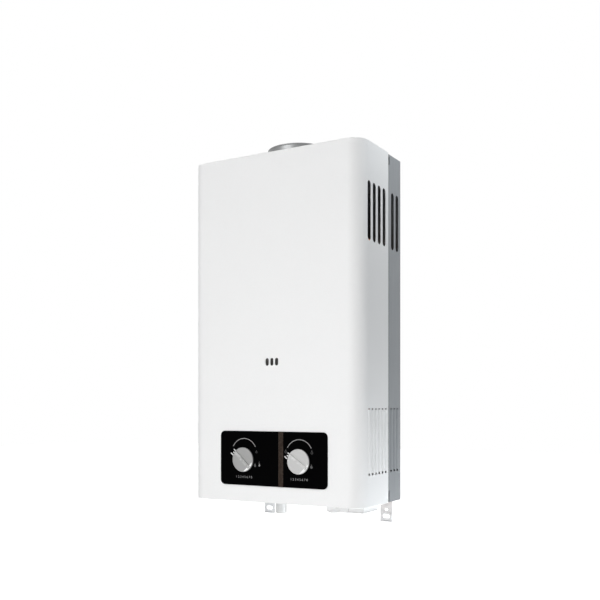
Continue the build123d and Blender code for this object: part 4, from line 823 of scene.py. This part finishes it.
def makeUnion(name, node, x, low):
    # threaded stub, hexagon and neck with a through bore
    u = pipeUnion
    bore, neck, top = u["bore"], u["neck"], u["top"]
    profile = [(bore, low), (u["chamfer"], low), (10.1, low + 0.8)]
    height = low + 1.4
    while height < u["threadTop"]:
        profile += [(u["thread"], height), (u["root"], height + u["pitch"] / 2)]
        height += u["pitch"]
    profile += [(9.4, -5.4), (9.4, 0.8), (neck, 0.8), (neck, top), (bore, top), (bore, low)]
    stub = turned(name, profile, 48, True)
    placeAt(stub, (x, u["y"], 0))
    corner = u["hexHalf"] / math.cos(math.pi / 6)
    hexagon = addRod(
        "hexagon", (x, u["y"], u["hexLow"]), u["hexHigh"] - u["hexLow"], corner, "Z", 6
    )
    roundEdges(hexagon, 0.8, 2, lambda x, y, z, way: abs(way.z) < 0.2)
    carve(hexagon, [addRod("cutter", (x, u["y"], -8), 12, neck - 0.05, "Z")])
    union = joinPieces([stub, hexagon])
    # the unions' light plating is partly painted light
    finishPiece(union, "heater", finishes["plated_union"], [node], 24)


makeUnion("gasInletStub", "gas_inlet_union", -knobX, -32.8)
makeUnion("coldInletStub", "cold_inlet_union", knobX, -25.0)

batteryDoor = {
    "left": 92.5, "right": 159.0, "front": -139.3, "back": -89.3, "low": -9.9, "high": -7.9,
    "pinY": -85.8, "pinHole": 1.05, "knuckleLeft": 95.8, "knuckleLong": 59.9, "knuckle": 2.5,
    "latchHalf": 7, "latchFront": -141.1, "latchBack": -139.6, "latchTop": -2.9,
    "gripHalf": 12, "gripDeep": 0.5,
}


def makeBatteryDoor():
    d = batteryDoor
    low, high, pinY, left = d["low"], d["high"], d["pinY"], d["knuckleLeft"]
    door = addBlock(
        "batteryDoorFlap", (d["left"], d["front"], low), (d["right"], d["back"], high)
    )
    roundEdges(door, 2.0, 5, lambda x, y, z, way: abs(way.z) > 0.9 and y < d["front"] + 1)
    middle = (d["left"] + d["right"]) / 2
    latchLeft, latchRight = middle - d["latchHalf"], middle + d["latchHalf"]
    bridge = addBlock("bridge", (left, d["back"] - 1, low), (left + d["knuckleLong"], pinY, high))
    knuckle = addRod("knuckle", (left, pinY, high), d["knuckleLong"], d["knuckle"], "X", 32)
    latch = addBlock(
        "latch", (latchLeft, d["latchFront"], low), (latchRight, d["latchBack"], d["latchTop"])
    )
    foot = addBlock("foot", (latchLeft, d["latchFront"], low), (latchRight, d["front"] + 1, high))
    carve(door, [bridge, knuckle, latch, foot], "UNION")
    carve(door, [addRod("cutter", (90, pinY, high), 80, d["pinHole"], "X", 24)])
    grips = [
        addBlock(
            "cutter", (middle - d["gripHalf"], y, low - 1),
            (middle + d["gripHalf"], y + 1.0, low + d["gripDeep"]),
        )
        for y in (-136, -134, -132, -130)
    ]
    carve(door, grips)
    soften(door, 0.3)
    finishPiece(door, "battery_flap", finishes["white_plastic"], ["battery_door"])


makeBatteryDoor()

# grooveLow and grooveHigh are the ends of the groove's cutter, past the plate's
panel = {
    "centre": 1.65, "width": 209.7, "low": 28.0, "height": 92.4, "thick": 2.2, "corner": 8.5,
    "bevel": 0.9, "pegInset": 12, "peg": 2.0, "grooveLeft": 14.3, "grooveRight": 23.7,
    "grooveDeep": 0.5, "grooveLow": 20, "grooveHigh": 130, "stripLeft": 14.4, "stripRight": 23.6,
    "stripProud": 0.4,
}
panelFace = frontY - panel["thick"]


def makePanel():
    p = panel
    left, right = p["centre"] - p["width"] / 2, p["centre"] + p["width"] / 2
    low, high = p["low"], p["low"] + p["height"]
    floor = panelFace + p["grooveDeep"]
    plate = addBlock("controlPanelPlate", (left, panelFace, low), (right, frontY, high))
    roundEdges(plate, p["corner"], 14, alongY)
    roundEdges(
        plate, p["bevel"], 4, lambda x, y, z, way: abs(way.y) < 0.1 and y < panelFace + 0.1
    )
    holes = [
        addRod("cutter", (x, panelFace - 2, knobHeight), 6, shaftHole, "Y", 64)
        for x in (-knobX, knobX)
    ]
    holes.append(addBlock(
        "cutter", (p["grooveLeft"], panelFace - 2, p["grooveLow"]),
        (p["grooveRight"], floor, p["grooveHigh"]),
    ))
    carve(plate, holes)
    pegs = [
        addRod("peg", (x, frontY - 0.5, z), 6.5, p["peg"], "Y", 24)
        for x in (left + p["pegInset"], right - p["pegInset"])
        for z in (low + p["pegInset"], high - p["pegInset"])
    ]
    plate = joinPieces([plate] + pegs)
    finishPiece(plate, "heater", finishes["black_gloss"], ["control_panel"])
    proud = p["stripProud"]
    strip = addBlock(
        "dividerTrim", (p["stripLeft"], panelFace - proud, low), (p["stripRight"], floor, high)
    )
    roundEdges(strip, proud, 3, lambda x, y, z, way: y < panelFace - 0.3)
    finishPiece(strip, "heater", finishes["bronze"], ["divider_strip"])


makePanel()

knob = {
    "radius": 20.8, "back": -164.1, "front": -166.9, "capFace": -168.5, "bore": 4.05,
    "hub": 7.0, "hubLong": 6.0, "flutes": 36, "fluteRing": 21.35, "flute": 0.8,
    "barHalf": 18.6, "barThin": 2.5, "barProud": 2.2, "facet": 19.9, "facetCut": 15.7,
    "facetProud": 0.25,
}


def makeSkirt(name, x):
    # turned about Z, then laid to the front
    k = knob
    out, bore, hub, foot = k["radius"], k["bore"], k["hub"], -k["hubLong"]
    long = k["back"] - k["front"]
    skirt = turned(name + "Skirt", [
        (bore, foot), (hub, foot), (hub, 0), (out - 0.4, 0), (out, 0.3), (out, long - 0.7),
        (out - 0.3, long - 0.4), (out - 0.3, long), (bore, long), (bore, foot),
    ], 96, True)
    placeAt(skirt, (x, k["back"], knobHeight), (90, 0, 0))
    flutes = []
    for number in range(k["flutes"]):
        turn = 2 * math.pi * number / k["flutes"]
        across, up = k["fluteRing"] * math.cos(turn), k["fluteRing"] * math.sin(turn)
        flutes.append(addRod(
            "cutter", (x + across, k["front"] + 0.5, knobHeight + up), long - 1.0,
            k["flute"], "Y", 12,
        ))
    return carve(skirt, flutes)


def makeCap(name, x, angle):
    k = knob
    out, thick = k["radius"], k["front"] - k["capFace"]
    cap = turned(name + "Cap", [
        (out - 0.5, 0), (out, 0.15), (out, thick - 0.9), (out - 0.25, thick - 0.45),
        (out - 0.9, thick), (out - 1.8, thick), (out - 2.1, thick - 0.12),
        (out - 2.4, thick - 0.12),
    ], 96)
    half, thin = k["barHalf"], k["barThin"]
    bar = addBlock("bar", (-half, -thin, 0), (half, thin, thick + k["barProud"]))
    placeAt(bar, (0, 0, caseHeight))
    roundEdges(bar, 0.7, 3, lambda x, y, z, way: abs(way.z) < 0.1 and z > caseHeight)
    cap = carve(cap, [bar], "UNION")
    return placeAt(cap, (x, k["front"], knobHeight), (90, angle, 0))


def makeHighlightFacet(name, x, angle):
    # painted highlight: a pale flat on the rim at the foot of the bar, standing in for the rim's
    # glint
    k = knob
    middle = caseHeight / 2
    face = middle + k["front"] - k["capFace"]
    facet = addRod(name + "HighlightFacet", (0, 0, face - 0.3), 0.3 + k["facetProud"], k["facet"], "Z", 96)
    cutAway(facet, (k["facetCut"], 0, middle), (-1, 0, 0))
    soften(facet, 0.12, 2, 50)
    return placeAt(facet, (x, k["front"], knobHeight), (90, angle, 0))


def makeKnob(name, x, angle, facetAngle, body, nodeName, silver):
    skirt = makeSkirt(name, x)
    finishPiece(skirt, body, finishes["knob_dark"], [nodeName])
    cap = makeCap(name, x, angle)
    finishPiece(cap, body, finishes[silver], [nodeName + "_cap"])
    # the pale flat on the rim is a painted highlight
    facet = makeHighlightFacet(name, x, facetAngle)
    finishPiece(facet, body, finishes["painted_highlight_metal"])


makeKnob("gasKnob", -knobX, 42.5, 48.0, "gas_control", "gas_knob", "knob_silver")
makeKnob("waterKnob", knobX, 34.0, 46.0, "water_control", "water_knob", "knob_silver_bright")

# printed marks stand a hair above the panel's face
inkBack, inkFront = panelFace + 0.02, panelFace - 0.05


def inkRing(name, x, z, radius, line, spread):
    ring = turned(name, [
        (radius + line / 2, 0), (radius + line / 2, 0.07), (radius - line / 2, 0.07),
        (radius - line / 2, 0), (radius + line / 2, 0),
    ], 128, True)
    placeAt(ring, (x, inkBack, z), (90, 0, 0))
    if spread < 180:
        turn = math.radians(spread)
        for side in (-1, 1):
            cutAway(ring, (x, 0, z), (side * math.cos(turn), 0, -math.sin(turn)))
    return ring


def inkBar(x, z, wide, high, turn):
    bar = addBlock("bar", (-wide / 2, 0, -high / 2), (wide / 2, inkBack - inkFront, high / 2))
    placeAt(bar, (0, 0, caseHeight))
    roundEdges(bar, min(wide, high) * 0.25, 3, alongY)
    return placeAt(bar, (x, inkFront, z), (0, turn, 0))


def inkDrop(x, z, size, hollow):
    def solid(scale, low, high):
        drop = addRod("drop", (0, low, caseHeight / 2), high - low, scale, "Y", 24)
        top = caseHeight / 2 + scale * 0.97
        pick(drop, "EDGE", lambda x, y, z, way: z > top and abs(way.y) < 0.5)
        bpy.ops.transform.translate(value=(0, 0, scale * 0.0011))
        bpy.ops.transform.resize(value=(0.2, 1, 1))
        bpy.ops.object.mode_set(mode="OBJECT")
        return drop

    drop = solid(size, 0, inkBack - inkFront)
    if hollow:
        carve(drop, [solid(size * 0.68, -1, 1)])
    return placeAt(drop, (x, inkFront, z))


def inkText(words, x, z, size):
    deselect()
    bpy.ops.object.text_add(rotation=(math.pi / 2, 0, 0))
    label = bpy.context.object
    label.data.body = words
    label.data.size = size / 1000
    label.data.align_x = "CENTER"
    label.data.align_y = "CENTER"
    label.data.extrude = 0.00003
    label.data.resolution_u = 4
    bpy.ops.object.convert(target="MESH")
    label = bpy.context.object
    label.location = spot(x, inkFront + 0.03, z)
    return settle("numerals")


arc = {"x": (-54.0, 54.5), "height": 82.4, "radius": 25.4, "line": 1.2, "spread": 62.8}
numerals = {"words": "1 2 3 4 5 6 7 8", "height": 42.0, "size": 5.6}
pointer = {"step": (3.0, 3.2), "long": 6.0, "thick": 1.9, "turn": 42, "dot": 0.6, "line": 1.1}
pointerPlaces = ((-75.9, 83.7), (31.6, 80.9))
# drops: place, size and whether they are hollow; bar: place, width, height, turn
flameDrop, flameBar = (-23.2, 62.4, 1.6, False), (-23.9, 66.8, 0.5, 5.0, 4)
faintDrops = (
    (28.7, 87.0, 2.1, True), (78.3, 86.6, 2.1, True), (-29.3, 84.9, 1.7, True),
    (-32.1, 62.1, 2.2, False), (77.3, 63.4, 2.4, False),
)


def makeMarks():
    a, n, p = arc, numerals, pointer
    bright, grey = [], []
    for x in a["x"]:
        grey.append(inkRing("arc", x, a["height"], a["radius"], a["line"], a["spread"]))
        grey.append(inkText(n["words"], x - 0.5, n["height"], n["size"]))
    for x, z in pointerPlaces:
        across, up = p["step"]
        for way in (-1, 1):
            place = (x + across * way, z + up * way)
            bright.append(inkBar(*place, p["long"], p["thick"], p["turn"]))
        bright.append(inkRing("dot", x + 0.3, z, p["dot"], p["line"], 180))
    grey.append(inkDrop(*flameDrop))
    grey.append(inkBar(*flameBar))
    faint = [inkDrop(*drop) for drop in faintDrops]
    for name, parts, ink in (
        ("brightMarks", bright, "bright_ink"), ("greyMarks", grey, "dial_ink"),
        ("faintMarks", faint, "faded_ink"),
    ):
        marks = joinPieces(parts)
        marks.name = name
        finishPiece(marks, "heater", finishes[ink])


makeMarks()


def addSeenRays(tree):
    # 1 for what shows the background: the camera, reflections and glass
    path = tree.nodes.new("ShaderNodeLightPath")
    seen = path.outputs["Is Camera Ray"]
    for label in ("Is Glossy Ray", "Is Transmission Ray"):
        either = tree.nodes.new("ShaderNodeMath")
        either.operation = "MAXIMUM"
        tree.links.new(seen, either.inputs[0])
        tree.links.new(path.outputs[label], either.inputs[1])
        seen = either.outputs[0]
    return seen


# in metres, from the frame's origin
floorHeight, floorSize = -0.6, 14


def makeFloor():
    deselect()
    bpy.ops.mesh.primitive_plane_add(size=floorSize, location=(0, 0, floorHeight))
    floor = settle("studioFloor")
    material = bpy.data.materials.new("paleFloor")
    material.use_nodes = True
    tree = material.node_tree
    shader = tree.nodes["Principled BSDF"]
    shader.inputs["Base Color"].default_value = (0.9, 0.9, 0.9, 1)
    shader.inputs["Roughness"].default_value = 0.9
    shader.inputs["Specular IOR Level"].default_value = 0.1
    glow = tree.nodes.new("ShaderNodeEmission")
    place = tree.nodes.new("ShaderNodeTexCoord")
    reach = tree.nodes.new("ShaderNodeVectorMath")
    reach.operation = "LENGTH"
    fade = tree.nodes.new("ShaderNodeMapRange")  # pale near the heater, white far off
    fade.inputs["From Min"].default_value = 1.0
    fade.inputs["From Max"].default_value = 4.0
    fade.inputs["To Min"].default_value = 0.8
    fade.inputs["To Max"].default_value = 1.0
    lift = tree.nodes.new("ShaderNodeMath")
    lift.operation = "MULTIPLY"
    both = tree.nodes.new("ShaderNodeAddShader")
    tree.links.new(place.outputs["Object"], reach.inputs[0])
    tree.links.new(reach.outputs["Value"], fade.inputs["Value"])
    tree.links.new(addSeenRays(tree), lift.inputs[0])
    tree.links.new(fade.outputs["Result"], lift.inputs[1])
    tree.links.new(lift.outputs[0], glow.inputs["Strength"])
    tree.links.new(shader.outputs[0], both.inputs[0])
    tree.links.new(glow.outputs[0], both.inputs[1])
    tree.links.new(both.outputs[0], tree.nodes["Material Output"].inputs["Surface"])
    floor.data.materials.append(material)


def makeWorld(light):
    world = bpy.data.worlds.new("studio")
    bpy.context.scene.world = world
    world.use_nodes = True
    tree = world.node_tree
    back = tree.nodes["Background"]
    level = tree.nodes.new("ShaderNodeMapRange")
    level.inputs["To Min"].default_value = light
    level.inputs["To Max"].default_value = 1.0
    tree.links.new(addSeenRays(tree), level.inputs["Value"])
    tree.links.new(level.outputs["Result"], back.inputs["Strength"])
    back.inputs["Color"].default_value = (1, 1, 1, 1)


def addLamp(name, place, target, size, power, colour=(1, 1, 1)):
    deselect()
    bpy.ops.object.light_add(type="AREA", location=place)
    lamp = bpy.context.object
    lamp.name = name
    lamp.data.shape = "RECTANGLE"
    lamp.data.size, lamp.data.size_y = size
    lamp.data.energy = power
    lamp.data.color = colour
    lamp.visible_camera = False
    lamp.rotation_euler = (Vector(target) - Vector(place)).to_track_quat("-Z", "Y").to_euler()
    return lamp


coolWhite = (0.93, 0.97, 1)
makeFloor()
makeWorld(0.1)
addLamp("keyLamp", (-0.7, -2.6, 2.0), (0, -0.16, 0.05), (1.6, 1.6), 47.5)
fill = addLamp("fillLamp", (0.25, -1.5, -0.5), (0, -0.16, -0.1), (0.6, 0.18), 8.4)
fill.visible_glossy = False  # no glare on the knobs from straight ahead
addLamp("backLamp", (-1.4, 2.2, 0.35), (0, 0, 0), (1.4, 1.4), 18)
addLamp("sideLowLamp", (0.45, 0.03, -0.56), (0.166, -0.08, -0.22), (0.2, 0.08), 1.75, coolWhite)
addLamp("sideHighLamp", (0.45, 0.03, 0.62), (0.166, -0.08, 0.25), (0.25, 0.25), 1.95, coolWhite)

camera = bpy.data.objects.new("photoCamera", bpy.data.cameras.new("photoCamera"))
bpy.context.scene.collection.objects.link(camera)
camera.location = (0.7389, -1.3417, -0.13165)
camera.rotation_euler = (math.radians(90), 0, math.radians(30.1))
camera.data.lens = 49.84
camera.data.sensor_width = 36
camera.data.shift_y = 0.1764
bpy.context.scene.camera = camera
bpy.context.scene.view_settings.view_transform = "Standard"
print("stage ready")
